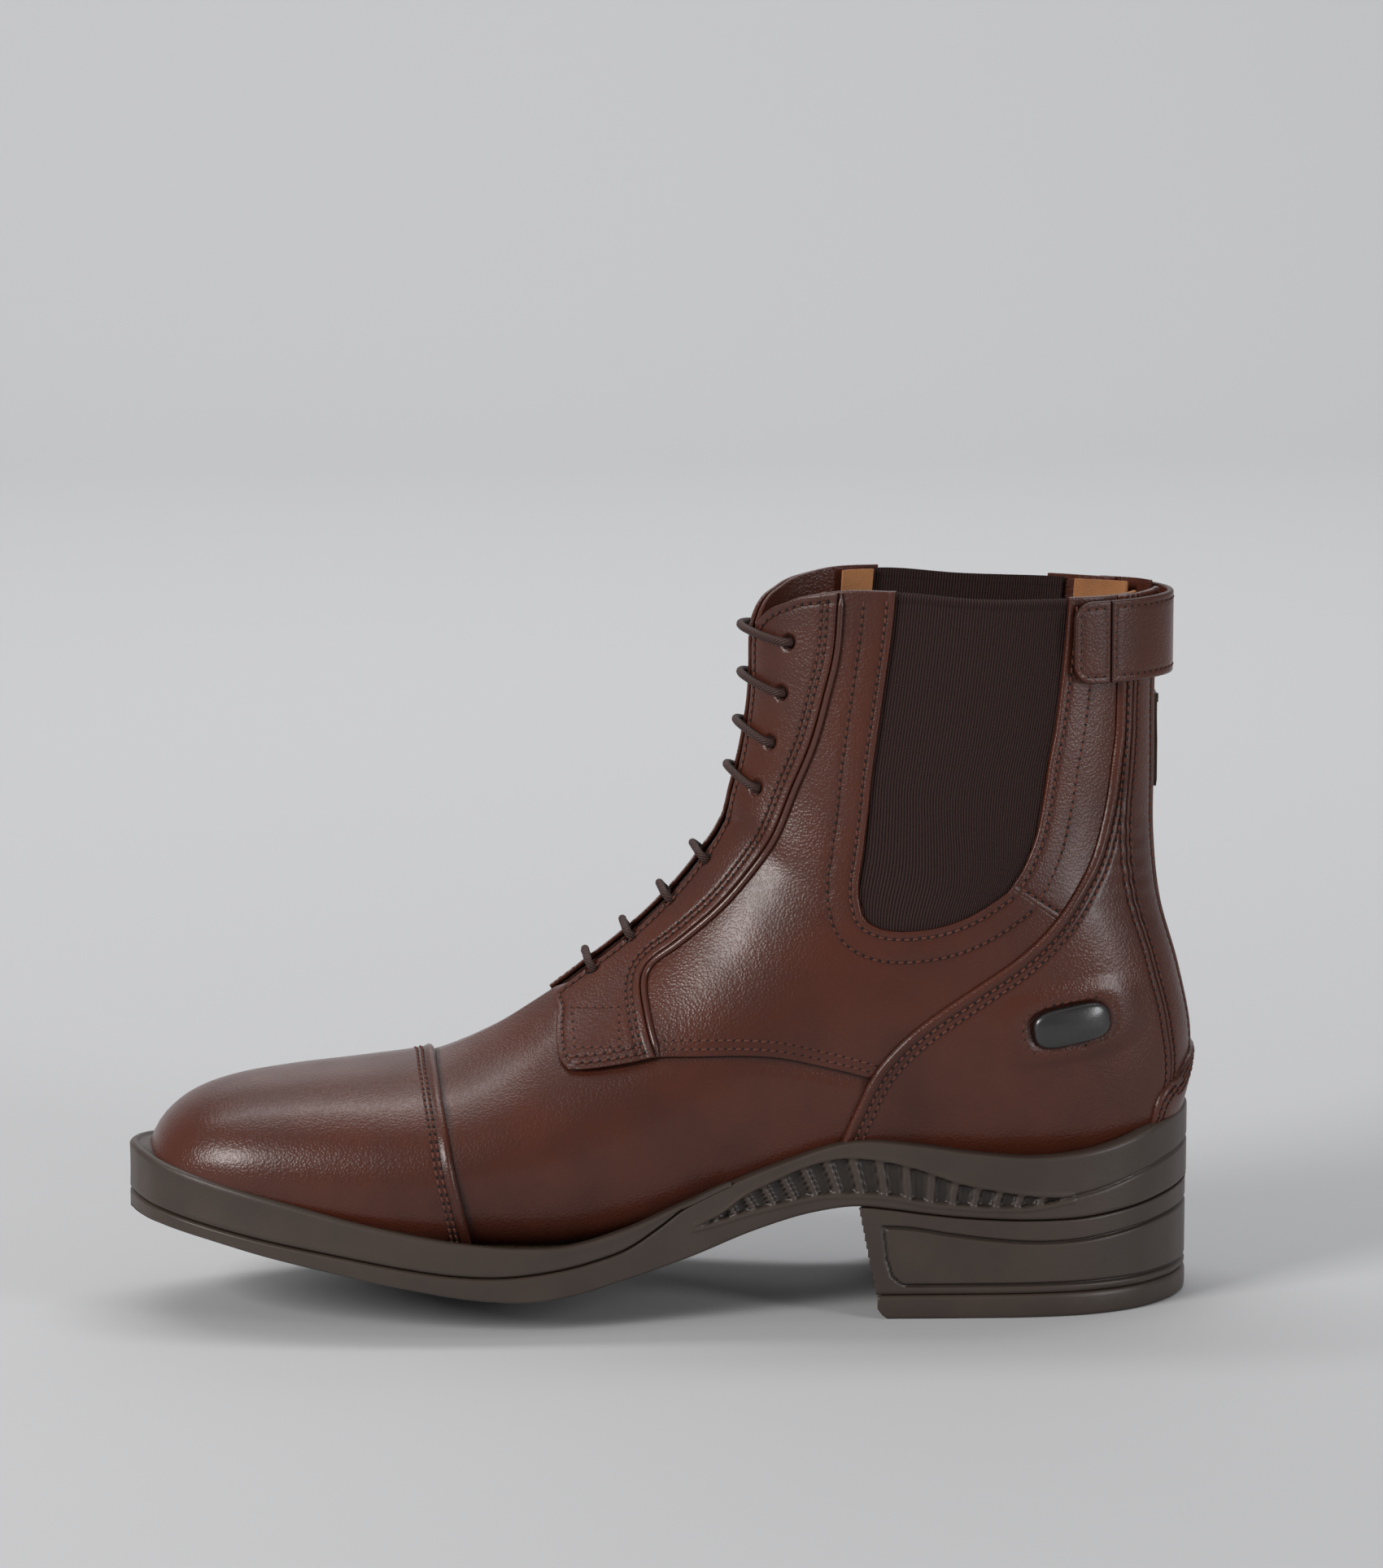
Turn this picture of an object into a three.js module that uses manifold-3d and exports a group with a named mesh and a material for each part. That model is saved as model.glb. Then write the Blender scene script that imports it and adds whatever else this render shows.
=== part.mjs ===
// A laced paddock riding boot: right foot, toe towards -X, heel towards +X, inner (medial) side at -Y.
// Millimetres, +Z up, origin on the ground below the middle of the boot.
// The upper is built in layers over one last surface: lining, stiffeners and elastic, base leather, overlays.
import * as THREE from "three";
import { mergeVertices } from "three/addons/utils/BufferGeometryUtils.js";
import Module from "manifold-3d";

const wasm = await Module();
wasm.setup();

// ---------------------------------------------------------------- driving dimensions
const GAP = 0.3; // clearance between neighbouring pieces
const LEATHER = 1.3; // base leather of vamp and quarters
const OVERLAY = 1.2; // toe cap, facings, heel covers, back strips
const ELASTIC = 1.1; // gussets, stiffeners and zip tapes
const LINING = 1.0;
const TONGUE = 2.4; // padded tongue
const TONGUE_HALF = 21;
const FOOTBED = 3.2; // removable insole
const PATCH = 1.0; // heel patch over the back seam

const THROAT = 5; // half width of the gap between the facings
const LACE = 2.2; // lace diameter
const LACE_CLEAR = 2.2; // a punched hole is this much wider than the lace
const LACE_HOLE = LACE + LACE_CLEAR;
const LACE_SWERVE = LACE + 0.5; // the runs pass the holes between by this much

const ZIP_HALF = 5; // half width of the slot between the back strips
const TEETH_HALF = 3.2;
const TEETH_GAP = 0.75; // the slider's web runs in this half gap
const TOOTH_PITCH = 2.4;
const TAPE_HALF = 13;
const ZIP_BOTTOM = 66;
const ZIP_TOP = 170;
const ZIP_SPLIT = 163.5; // the slider's rest: its web is above the top tooth

const TAB_LOW = 174.5;
const TAB_HIGH = 197.2;
const TAB_THICK = 1.8;
const TAB_STITCH = 121.8; // where the strap is sewn down, and its hinge
const TAB_CORNER = 5; // how far the rounded corners reach
const SNAP_PLACE = [113.5, 186];
const SNAP_RADIUS = 5;
const SNAP_POST = 1.1;

const HEEL_LIFT = 6.6; // rubber top piece under the heel block
const SHANK_LENGTH = 96;
const SHANK_WIDTH = 14;
const SHANK_THICK = 1.4;

const SPUR_CENTRE = [110, 81.5];
const SPUR_SIZE = [20.5, 10.4];
const SPUR_TILT = 9; // degrees
const SPUR_PROUD = 2.2;

// Depths of the layers, measured outwards from the outer face of the base leather.
const BASE = [-LEATHER, 0];
const OVER = [GAP, GAP + OVERLAY];
const PATCHED = [OVER[1] + GAP, OVER[1] + GAP + PATCH];
const UNDER = [BASE[0] - GAP - ELASTIC, BASE[0] - GAP];
const LINED = [UNDER[0] - GAP - LINING, UNDER[0] - GAP];
const LACE_INSIDE = BASE[0] - LACE / 2 - 1.2; // the runs behind the facing
const TONGUE_FACE = LACE_INSIDE - LACE / 2 - 0.5; // the tongue lies clear under the runs
const TONGUED = [TONGUE_FACE - TONGUE, TONGUE_FACE];
const SOCKED = [LINED[0] - GAP - FOOTBED, LINED[0] - GAP];
const SOLE_SEAT = OVER[1] + GAP; // the sole's cup clears the overlays
const LACE_OUTSIDE = OVER[1] + LACE / 2 + 0.5; // the bars across the throat

// ---------------------------------------------------------------- the last
// Sections through the foot from the toe, round the ankle, to the top of the shaft. Each row is the section's
// front point (x, z), its back or bottom point (x, z), its medial and lateral half widths, how square it is at
// the bottom and at the front (1 is an ellipse, less is squarer), and how low its widest place is.
const LAST = [
  [-140.6, 41.0, -140.6, 33.0, 8.0, 8.0, 0.5, 0.95, 1.1],
  [-139.2, 46.0, -139.2, 32.2, 14.0, 13.0, 0.5, 0.95, 1.15],
  [-135.2, 52.6, -135.2, 30.8, 20.0, 19.0, 0.48, 0.95, 1.2],
  [-127.5, 58.4, -127.5, 29.4, 26.0, 25.5, 0.45, 0.95, 1.25],
  [-116.0, 62.3, -116.0, 27.6, 31.5, 32.0, 0.42, 1.0, 1.3],
  [-100.0, 64.6, -100.0, 25.2, 36.0, 38.5, 0.42, 1.0, 1.3],
  [-80.0, 66.8, -80.0, 22.8, 40.0, 44.0, 0.42, 1.05, 1.3],
  [-62.0, 69.9, -61.0, 21.4, 42.0, 47.0, 0.42, 1.15, 1.3],
  [-46.0, 77.0, -44.0, 20.6, 42.2, 48.0, 0.42, 1.3, 1.35],
  [-31.5, 85.8, -27.0, 20.7, 41.0, 47.5, 0.42, 1.4, 1.4],
  [-18.5, 95.8, -6.0, 23.6, 38.5, 45.0, 0.42, 1.45, 1.4],
  [-6.5, 105.6, 19.0, 29.7, 36.0, 41.5, 0.42, 1.4, 1.35],
  [3.5, 115.6, 47.0, 36.0, 34.5, 38.0, 0.42, 1.3, 1.25],
  [11.0, 124.8, 76.0, 37.6, 34.0, 36.0, 0.42, 1.2, 1.15],
  [16.0, 131.4, 104.0, 36.6, 34.0, 35.0, 0.45, 1.1, 1.1],
  [18.6, 137.0, 126.0, 37.4, 33.5, 34.0, 0.52, 1.05, 1.05],
  [20.2, 142.4, 138.6, 45.0, 33.0, 33.0, 0.62, 1.0, 1.0],
  [21.6, 148.0, 144.3, 58.5, 32.5, 32.5, 0.68, 1.0, 1.0],
  [23.0, 154.0, 146.0, 73.5, 32.0, 32.0, 0.74, 1.0, 1.0],
  [24.2, 160.5, 142.6, 92.0, 31.5, 31.5, 0.8, 1.0, 1.0],
  [25.2, 167.5, 137.4, 111.0, 30.5, 30.5, 0.85, 1.0, 1.0],
  [25.6, 175.0, 135.5, 130.0, 29.5, 29.5, 0.9, 1.0, 1.0],
  [25.6, 183.0, 135.5, 149.0, 28.5, 28.5, 0.9, 1.0, 1.0],
  [25.6, 191.5, 135.5, 168.0, 27.5, 27.5, 0.9, 1.0, 1.0],
  [25.6, 200.5, 136.0, 187.0, 27.0, 27.0, 0.9, 1.0, 1.0],
  [25.8, 210.0, 137.0, 206.0, 27.0, 27.0, 0.9, 1.0, 1.0],
];
// Where the sections are cut through the last, in rows of the table above: closest round the toe and the heel.
const SECTIONS = [0, 1.4, 3.2, 5, 6.6, 8, 9.2, 10.4, 11.6, 12.8, 14, 15, 16, 17, 18, 19, 20.3, 22, 23.5, 25];
const AROUND = 18; // points round each section

// Plan of the sole from toe to heel: x, medial half width, lateral half width.
const SOLE_PLAN = [
  [-146.2, 4, 4],
  [-144, 11.5, 11],
  [-139.5, 19.5, 18.5],
  [-130, 27.5, 27],
  [-115, 34.5, 35.5],
  [-95, 40, 43],
  [-75, 44, 48],
  [-55, 46, 51],
  [-32, 45.2, 51.5],
  [-10, 41.5, 48],
  [12, 37.5, 44],
  [34, 35.2, 40],
  [56, 35, 37.5],
  [78, 36, 37],
  [99, 36.6, 36.8],
  [116, 34.6, 34.8],
  [130, 28.5, 28.5],
  [140, 19, 19],
  [145, 10.5, 10.5],
  [147, 4, 4],
];
// Heights along the sole's side, as x, z.
const RIM_LINE = [
  [-146, 46.5], [-128, 42], [-105, 36.3], [-83, 30.8], [-59, 26.2], [-41, 24.3], [-27, 24.6], [-12, 28.2],
  [4, 34.4], [17.4, 39.3], [31, 44.4], [51, 50], [69, 48.7], [84.5, 46.4], [102.5, 45.1], [118.6, 46.5],
  [131, 49.2], [140, 51.8], [147, 53.5],
];
const GROOVE_LINE = [
  [-146, 33], [-133.7, 30.2], [-108, 24.8], [-90, 21.6], [-73, 18.6], [-60, 16.8], [-47, 16.1], [-33.6, 17.2],
  [-22, 19.4], [-11, 23], [-3, 28], [5, 33.6], [12, 37.5],
];
const BOTTOM_LINE = [
  [-146, 28.4], [-127, 24.8], [-109, 20.6], [-94, 17.4], [-72, 13], [-50, 9.6], [-41, 9], [-28, 10.2],
  [-14, 13.6], [6, 19.4], [24, 26], [40, 30.4], [52, 31.8], [61, 30.9], [71, 29.5], [80, 28.5], [90, 27.8],
  [104, 27.4], [114, 27.6], [124, 28.6], [135, 30.2], [147, 32.4],
];
const TREAD_DROP = 9.6; // how far the middle of the tread is below the sole's lower edge at the ball
const BALL_X = -43;
const BALL_REACH = 62; // the tread's drop fades out this far from the ball

// ---------------------------------------------------------------- seams, as x, z seen from the side
const THROAT_BASE = [-27.1, 87.6];
const FACING_REAR = [
  [47.8, 207], [46.5, 184.6], [44, 173], [40.4, 159], [35.4, 146], [29.6, 131.5], [22, 120.4], [14, 111.5],
  [4.3, 103.1], [-2.4, 98.1], [-5.4, 94.5], [-6.3, 90.5], [-5.8, 85], [-4.8, 79.4], [-3.3, 74.4],
];
const FACING_FOOT = [[-3.3, 74.4], [-10, 72.8], [-19.7, 71.1], [-26.4, 70.2], [-28.6, 72.4], [-29.2, 78],
  [-28.6, 83], [-27.4, 88], [-27, 98]];
const VAMP_SEAM = [[-26.8, 70.2], [-19.7, 71.1], [-10, 72.8], [-3, 74.2], [7.4, 74.4], [20.8, 74.5], [31.1, 73.6],
  [41.2, 71.3], [50.3, 68.9], [57, 66.8], [66, 63.5]];
const COUNTER_EDGE = [[124, 205], [124, 165], [122.7, 152], [120.9, 140], [117.4, 127.5], [112.6, 118.4],
  [105.2, 108.5], [95.9, 100.2], [85.3, 93.2], [74.6, 86.3], [65.6, 79.4], [58.8, 72.3], [55.2, 66.8],
  [51.9, 59.8], [48.4, 51.3], [44.5, 38], [41, 20]];
const COUNTER_LAP = 8; // the pieces under the heel cover reach this far behind its edge
const GUSSET_EDGE = [[62.5, 207], [61.4, 189.5], [59.3, 174.6], [57.5, 162.3], [55.7, 149.8], [54.7, 140],
  [53.4, 129.4], [52.2, 121], [52.4, 114], [54.6, 110.2], [59.1, 108.3], [65.8, 107.9], [74.8, 109.1],
  [83.4, 112.2], [92.5, 117.8], [97.9, 124.7], [101.5, 133.1], [103.6, 142.7], [105.3, 153.4], [106.9, 161.2],
  [108.3, 170.9], [109.6, 182.5], [110.4, 193], [110.9, 207]];
const GUSSET_LAP = 7; // the elastic reaches this far under the leather
const GUSSET_SEAM = [[90, 123.2], [95.1, 116.7], [104.1, 105.7], [112, 96]];
const STRIP_EDGE = [[14.2, 205], [14.4, 175], [15, 160], [16.5, 143], [18, 125], [19, 108], [19.4, 90], [19, 76],
  [17.6, 66], [16, 50]]; // half width, z, seen from behind
const PATCH_EDGE = [[150, 70], [144.6, 68.4], [141, 63.6], [137, 60.6], [134.6, 57], [133, 50], [131.6, 40]];
const CAP_SEAM = [[-63.5, 90], [-62, 70], [-61.2, 62], [-60.1, 54], [-58.7, 45], [-56.8, 37], [-54, 27],
  [-51, 15]];
const PUFF_SETBACK = 12; // the toe puff ends this far ahead of the cap's seam
const TOP_LINE = [[-20, 152], [20, 176], [25.6, 185], [28.1, 191], [35, 197.2], [44, 200], [62.5, 200.8],
  [86, 198.8], [111, 198.2], [125, 198], [150, 199.6]];
const STIFFENER_TOP = [[40, 66], [70, 84], [100, 97], [125, 103], [150, 103]];
const LINING_SPLIT = [[-36, 260], [-36, 100], [-30, 84], [-16, 56], [4, 5]]; // between vamp lining and quarter linings
const EYELETS = [[-18.1, 93.1], [-7.4, 101.8], [3.5, 112.2], [13.3, 123.6], [26.9, 144.9], [30.6, 157.8],
  [33.5, 171.8], [35.3, 185.9]];

// ---------------------------------------------------------------- small tools
const lerp = (a, b, u) => a + (b - a) * u;
const clamp = (v, low, high) => Math.min(high, Math.max(low, v));

// Catmull-Rom through rows of numbers, with t counted in rows.
function through(rows, t) {
  const last = rows.length - 1;
  const i = clamp(Math.floor(t), 0, last - 1);
  const u = t - i;
  const p1 = rows[i];
  const p2 = rows[i + 1];
  const p0 = i > 0 ? rows[i - 1] : p1.map((v, k) => 2 * v - p2[k]);
  const p3 = i < last - 1 ? rows[i + 2] : p2.map((v, k) => 2 * v - p1[k]);
  return p1.map((v, k) => {
    const cubic = -p0[k] + 3 * v - 3 * p2[k] + p3[k];
    const square = 2 * p0[k] - 5 * v + 4 * p2[k] - p3[k];
    return 0.5 * (2 * v + (p2[k] - p0[k]) * u + square * u * u + cubic * u * u * u);
  });
}

// A smooth line through a few points, as an array of [x, z].
function smooth(points, perSpan = 2) {
  const steps = (points.length - 1) * perSpan;
  return Array.from({ length: steps + 1 }, (_, i) => through(points, i / perSpan));
}

// The line moved sideways: positive goes to the right of its direction.
function shifted(line, distance) {
  return line.map((p, i) => {
    const a = line[Math.max(0, i - 1)];
    const b = line[Math.min(line.length - 1, i + 1)];
    const length = Math.hypot(b[0] - a[0], b[1] - a[1]);
    return [p[0] + ((b[1] - a[1]) / length) * distance, p[1] - ((b[0] - a[0]) / length) * distance];
  });
}

// Height of a line of x, z at x.
function heightAt(line, x) {
  if (x <= line[0][0]) return line[0][1];
  for (let i = 1; i < line.length; i++) {
    if (x <= line[i][0]) {
      const u = (x - line[i - 1][0]) / (line[i][0] - line[i - 1][0]);
      return through(line, i - 1 + u)[1];
    }
  }
  return line[line.length - 1][1];
}

// ---------------------------------------------------------------- solids
function solidOf(geometry) {
  const bare = new THREE.BufferGeometry();
  bare.setAttribute("position", geometry.getAttribute("position"));
  if (geometry.index) bare.setIndex(geometry.index);
  const merged = mergeVertices(bare, 1e-4);
  return new wasm.Manifold(
    new wasm.Mesh({
      numProp: 3,
      vertProperties: new Float32Array(merged.attributes.position.array),
      triVerts: new Uint32Array(merged.index.array),
    }),
  );
}

// A closed body through rings of the same number of points, capped flat at both ends.
function ringBody(rings) {
  const n = rings[0].length;
  const positions = rings.flat().flat();
  const index = [];
  for (let i = 0; i + 1 < rings.length; i++) {
    for (let j = 0; j < n; j++) {
      const a = i * n + j;
      const b = i * n + ((j + 1) % n);
      index.push(a, b, b + n, a, b + n, a + n);
    }
  }
  const end = (rings.length - 1) * n;
  for (let j = 1; j + 1 < n; j++) {
    index.push(0, j + 1, j, end, end + j, end + j + 1);
  }
  const geometry = new THREE.BufferGeometry();
  geometry.setAttribute("position", new THREE.BufferAttribute(new Float32Array(positions), 3));
  geometry.setIndex(index);
  const made = solidOf(geometry);
  if (made.volume() >= 0) return made;
  for (let i = 0; i < index.length; i += 3) [index[i + 1], index[i + 2]] = [index[i + 2], index[i + 1]];
  geometry.setIndex(index);
  return solidOf(geometry);
}

// An outline in x, z carried along Y from y0 to y1.
function prism(outline, y0, y1) {
  const shape = new THREE.Shape(outline.map((p) => new THREE.Vector2(p[0], p[1])));
  const geometry = new THREE.ExtrudeGeometry(shape, { depth: y1 - y0, bevelEnabled: false });
  geometry.rotateX(Math.PI / 2);
  geometry.translate(0, y1, 0);
  return solidOf(geometry);
}

function block(x0, x1, y0, y1, z0, z1) {
  const geometry = new THREE.BoxGeometry(x1 - x0, y1 - y0, z1 - z0);
  geometry.translate((x0 + x1) / 2, (y0 + y1) / 2, (z0 + z1) / 2);
  return solidOf(geometry);
}

// A round pin from a centre, along a direction, from start to end along it.
function pin(centre, direction, radius, start, end, sides = 12) {
  const geometry = new THREE.CylinderGeometry(radius, radius, end - start, sides);
  geometry.translate(0, (start + end) / 2, 0);
  const turn = new THREE.Quaternion().setFromUnitVectors(
    new THREE.Vector3(0, 1, 0),
    new THREE.Vector3(...direction).normalize(),
  );
  geometry.applyQuaternion(turn);
  geometry.translate(...centre);
  return solidOf(geometry);
}

// ---------------------------------------------------------------- the last's surface
// Outward normal, in x and z, of the last's front or back line at section t.
function lineNormal(t, column, side) {
  const a = through(LAST, clamp(t - 0.01, 0, LAST.length - 1));
  const b = through(LAST, clamp(t + 0.01, 0, LAST.length - 1));
  const dx = b[column] - a[column];
  const dz = b[column + 1] - a[column + 1];
  const length = Math.hypot(dx, dz);
  return [(-dz / length) * side, (dx / length) * side];
}

// A point of the last: section t, angle from the back (0) to the front (PI), negative on the medial side.
function lastPoint(t, angle, depth = 0) {
  const [fx, fz, bx, bz, medial, lateral, low, high, skew] = through(LAST, t);
  const front = lineNormal(t, 0, 1);
  const back = lineNormal(t, 2, -1);
  const share = (1 - Math.cos(angle)) / 2;
  const power = lerp(low, high, share * share * (3 - 2 * share));
  const along = share ** skew;
  const half = (angle < 0 ? medial : lateral) + depth;
  const y = Math.sign(angle) * half * Math.max(0, Math.sin(Math.abs(angle))) ** power;
  const x0 = bx + back[0] * depth;
  const z0 = bz + back[1] * depth;
  return [lerp(x0, fx + front[0] * depth, along), y, lerp(z0, fz + front[1] * depth, along)];
}

const bodies = new Map();
// The whole boot as one solid, grown outwards by depth from the base leather's face.
function lastBody(depth) {
  if (!bodies.has(depth)) {
    const rings = SECTIONS.map((t) => {
      return Array.from({ length: AROUND }, (_, j) => {
        return lastPoint(t, -Math.PI + (2 * Math.PI * (j + 0.5)) / AROUND, depth);
      });
    });
    if (depth !== 0) rings[0] = rings[0].map(([x, y, z]) => [x - depth, y, z]);
    bodies.set(depth, ringBody(rings));
  }
  return bodies.get(depth);
}

const layer = ([inner, outer]) => lastBody(outer).subtract(lastBody(inner));

// The section, angle and outward normal where the side view shows x, z, on side -1 (medial) or 1.
function onSide(x, z, side, depth = 0) {
  let best = { error: Infinity };
  let [t0, t1, a0, a1] = [0, LAST.length - 1, 0.02, Math.PI - 0.02];
  for (let round = 0; round < 5; round++) {
    for (let i = 0; i <= 24; i++) {
      for (let j = 0; j <= 24; j++) {
        const t = lerp(t0, t1, i / 24);
        const angle = lerp(a0, a1, j / 24);
        const p = lastPoint(t, side * angle, depth);
        const error = Math.hypot(p[0] - x, p[2] - z);
        if (error < best.error) best = { error, t, angle, point: p };
      }
    }
    const dt = (t1 - t0) / 12;
    const da = (a1 - a0) / 12;
    [t0, t1] = [Math.max(0, best.t - dt), Math.min(LAST.length - 1, best.t + dt)];
    [a0, a1] = [Math.max(0.02, best.angle - da), Math.min(Math.PI - 0.02, best.angle + da)];
  }
  const step = (dt, da) => new THREE.Vector3(...lastPoint(best.t + dt, side * (best.angle + da), depth));
  const along = step(0.02, 0).sub(step(-0.02, 0));
  const around = step(0, 0.02).sub(step(0, -0.02));
  const normal = along.cross(around).normalize();
  if (normal.y * side < 0) normal.negate();
  return { t: best.t, angle: best.angle, point: best.point, normal: normal.toArray() };
}

// ---------------------------------------------------------------- regions, as prisms in the side view
const FAR = 400;
const SIDES = [
  { name: "medial", sign: -1 },
  { name: "lateral", sign: 1 },
];
// An outline cut through one side only, from the middle outwards, or from clear millimetres off it.
const onlySide = (outline, side, clear = GAP / 2) =>
  side.sign < 0 ? prism(outline, -80, -clear) : prism(outline, clear, 80);
const throughout = (outline) => prism(outline, -80, 80);

const topLine = smooth(TOP_LINE, 1);
const belowTop = throughout([...topLine, [FAR, 199.6], [FAR, -50], [-FAR, -50], [-FAR, 152]]);
const rearLine = smooth(FACING_REAR, 1);
const vampLine = smooth(VAMP_SEAM, 1);
const counterLine = smooth(COUNTER_EDGE, 1);
const capLine = smooth(CAP_SEAM, 1);
const gussetLine = smooth(GUSSET_EDGE, 1);
const patchLine = smooth(PATCH_EDGE, 1);

// Everything behind a line that runs down the boot.
const behind = (line) => [...line, [FAR, line[line.length - 1][1]], [FAR, line[0][1]]];
// Everything ahead of a line that runs down the boot.
const ahead = (line) => [...line, [-FAR, line[line.length - 1][1]], [-FAR, line[0][1]]];

// ---------------------------------------------------------------- materials
const finish = (color, roughness, metalness = 0) => new THREE.MeshStandardMaterial({ color, roughness, metalness });
const FINISHES = {
  leather: finish(0x55291f, 0.38),
  lining: finish(0xb98a55, 0.8),
  elastic: finish(0x2a2022, 0.85),
  rubber: finish(0x3b322d, 0.6),
  spur: finish(0x1f2224, 0.5),
  lace: finish(0x2e1c16, 0.7),
  brass: finish(0x9a7a3c, 0.4, 0.9),
  zip: finish(0x3a241c, 0.6),
  board: finish(0x8a7a66, 0.9),
  cork: finish(0x9c7348, 0.95),
  steel: finish(0x777c80, 0.4, 0.9),
};

const boot = new THREE.Group();

// Names a manifold solid and adds it to the boot. Slivers that a cut leaves are dropped.
function add(name, solid, slot, parent = boot) {
  const whole = solid.decompose().sort((a, b) => b.volume() - a.volume())[0];
  const mesh = whole.getMesh();
  const points = new Float32Array(mesh.numVert * 3);
  for (let i = 0; i < mesh.numVert; i++) {
    points.set(mesh.vertProperties.subarray(i * mesh.numProp, i * mesh.numProp + 3), i * 3);
  }
  const geometry = new THREE.BufferGeometry();
  geometry.setAttribute("position", new THREE.BufferAttribute(points, 3));
  geometry.setIndex(new THREE.BufferAttribute(new Uint32Array(mesh.triVerts), 1));
  const made = new THREE.Mesh(geometry, FINISHES[slot]);
  made.name = name;
  parent.add(made);
  return made;
}

// Where the origin is: the ground below the middle of the whole boot.
const CENTRE = [0.52, 2.75];
boot.position.set(-CENTRE[0], -CENTRE[1], 0);

// An outline in y, z carried along X from x0 to x1.
function crossPrism(outline, x0, x1) {
  const shape = new THREE.Shape(outline.map((p) => new THREE.Vector2(p[0], p[1])));
  const geometry = new THREE.ExtrudeGeometry(shape, { depth: x1 - x0, bevelEnabled: false });
  const axes = [new THREE.Vector3(0, 1, 0), new THREE.Vector3(0, 0, 1), new THREE.Vector3(1, 0, 0)];
  geometry.applyMatrix4(new THREE.Matrix4().makeBasis(...axes));
  geometry.translate(x0, 0, 0);
  return solidOf(geometry);
}

// An outline in x, y carried up from z0 to z1.
function planPrism(outline, z0, z1) {
  const shape = new THREE.Shape(outline.map((p) => new THREE.Vector2(p[0], p[1])));
  const geometry = new THREE.ExtrudeGeometry(shape, { depth: z1 - z0, bevelEnabled: false });
  geometry.translate(0, 0, z0);
  return solidOf(geometry);
}

// The sole's plan drawn in by an inset, from z0 to z1.
function soleInside(inset, z0, z1) {
  const first = SOLE_PLAN[0][0] + inset;
  const last = SOLE_PLAN[SOLE_PLAN.length - 1][0] - inset;
  const rows = SOLE_PLAN.filter(([x, m]) => x > first && x < last && m > inset + 3);
  const medial = rows.map(([x, m]) => [x, -(m - inset)]);
  const lateral = rows.map(([x, , l]) => [x, l - inset]).reverse();
  return planPrism([...medial, ...lateral], z0, z1);
}

// ---------------------------------------------------------------- upper
const LASTING_MARGIN = 16; // how far the upper is turned in under the foot
const UNDERSIDE = 46; // the foot's underside is below this height
const margin = soleInside(LASTING_MARGIN, -20, UNDERSIDE);

// The opening between the facings, down the front to the throat's base.
function throat(half, base = THROAT_BASE[0]) {
  const outline = [[base, 66], [-5, 85], [30, 125], [48, 170], [60, 240], [base, 240]];
  return prism(outline, -half, half);
}

// Everything above the vamp's seam and behind the throat's base, moved up and back by a clearance.
function aboveVamp(clear) {
  const line = shifted(vampLine, -clear);
  const first = THROAT_BASE[0] + clear;
  const inner = line.filter((p) => p[0] > first);
  return throughout([[first, 260], [first, line[0][1]], ...inner, [90, 54 + clear], [FAR, 54 + clear], [FAR, 260]]);
}

const baseLayer = layer(BASE).intersect(belowTop);
const overLayer = layer(OVER).intersect(belowTop);
const underLayer = layer(UNDER).intersect(belowTop);
const aheadOfCounter = throughout(ahead(shifted(counterLine, -COUNTER_LAP)));
const behindCounter = throughout(behind(shifted(counterLine, -COUNTER_LAP - GAP)));
const gussetHole = throughout(gussetLine);
const gussetRear = throughout(behind([[83, 260], ...shifted(GUSSET_SEAM, 0), [140, 60]]));
const gussetFront = throughout(ahead([[83, 260], ...shifted(GUSSET_SEAM, GAP), [140, 60]]));
const puffLine = shifted(capLine, PUFF_SETBACK);

add("toe_puff", baseLayer.intersect(throughout(ahead(shifted(puffLine, GAP)))).subtract(margin), "board");
add(
  "vamp",
  baseLayer
    .intersect(throughout(behind(puffLine)))
    .subtract(aboveVamp(-GAP / 2))
    .intersect(aheadOfCounter)
    .subtract(margin),
  "leather",
);
add(
  "toe_cap",
  overLayer.intersect(throughout(ahead(capLine))).subtract(margin),
  "leather",
);

const quarters = baseLayer.intersect(aboveVamp(GAP / 2)).intersect(aheadOfCounter).subtract(throat(THROAT));
const facingLine = [...rearLine, ...smooth(FACING_FOOT, 1)];
const facings = overLayer
  .intersect(throughout([...facingLine, [-27, 240], [60, 240]]))
  .subtract(throat(THROAT, -40));
const pipingBand = [...shifted(rearLine, -GAP), ...shifted(rearLine, -GAP - 1.7).reverse()];
const pipings = layer([OVER[0], OVER[1] + 0.6]).intersect(belowTop).intersect(throughout(pipingBand));

const holes = new Map();
for (const side of SIDES) {
  holes.set(side, EYELETS.map(([x, z]) => onSide(x, z, side.sign)));
}
const punches = (side) =>
  holes
    .get(side)
    .map(({ point, normal }) => pin(point, normal, LACE_HOLE / 2, -3, 4, 8))
    .reduce((all, one) => all.add(one));

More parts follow.
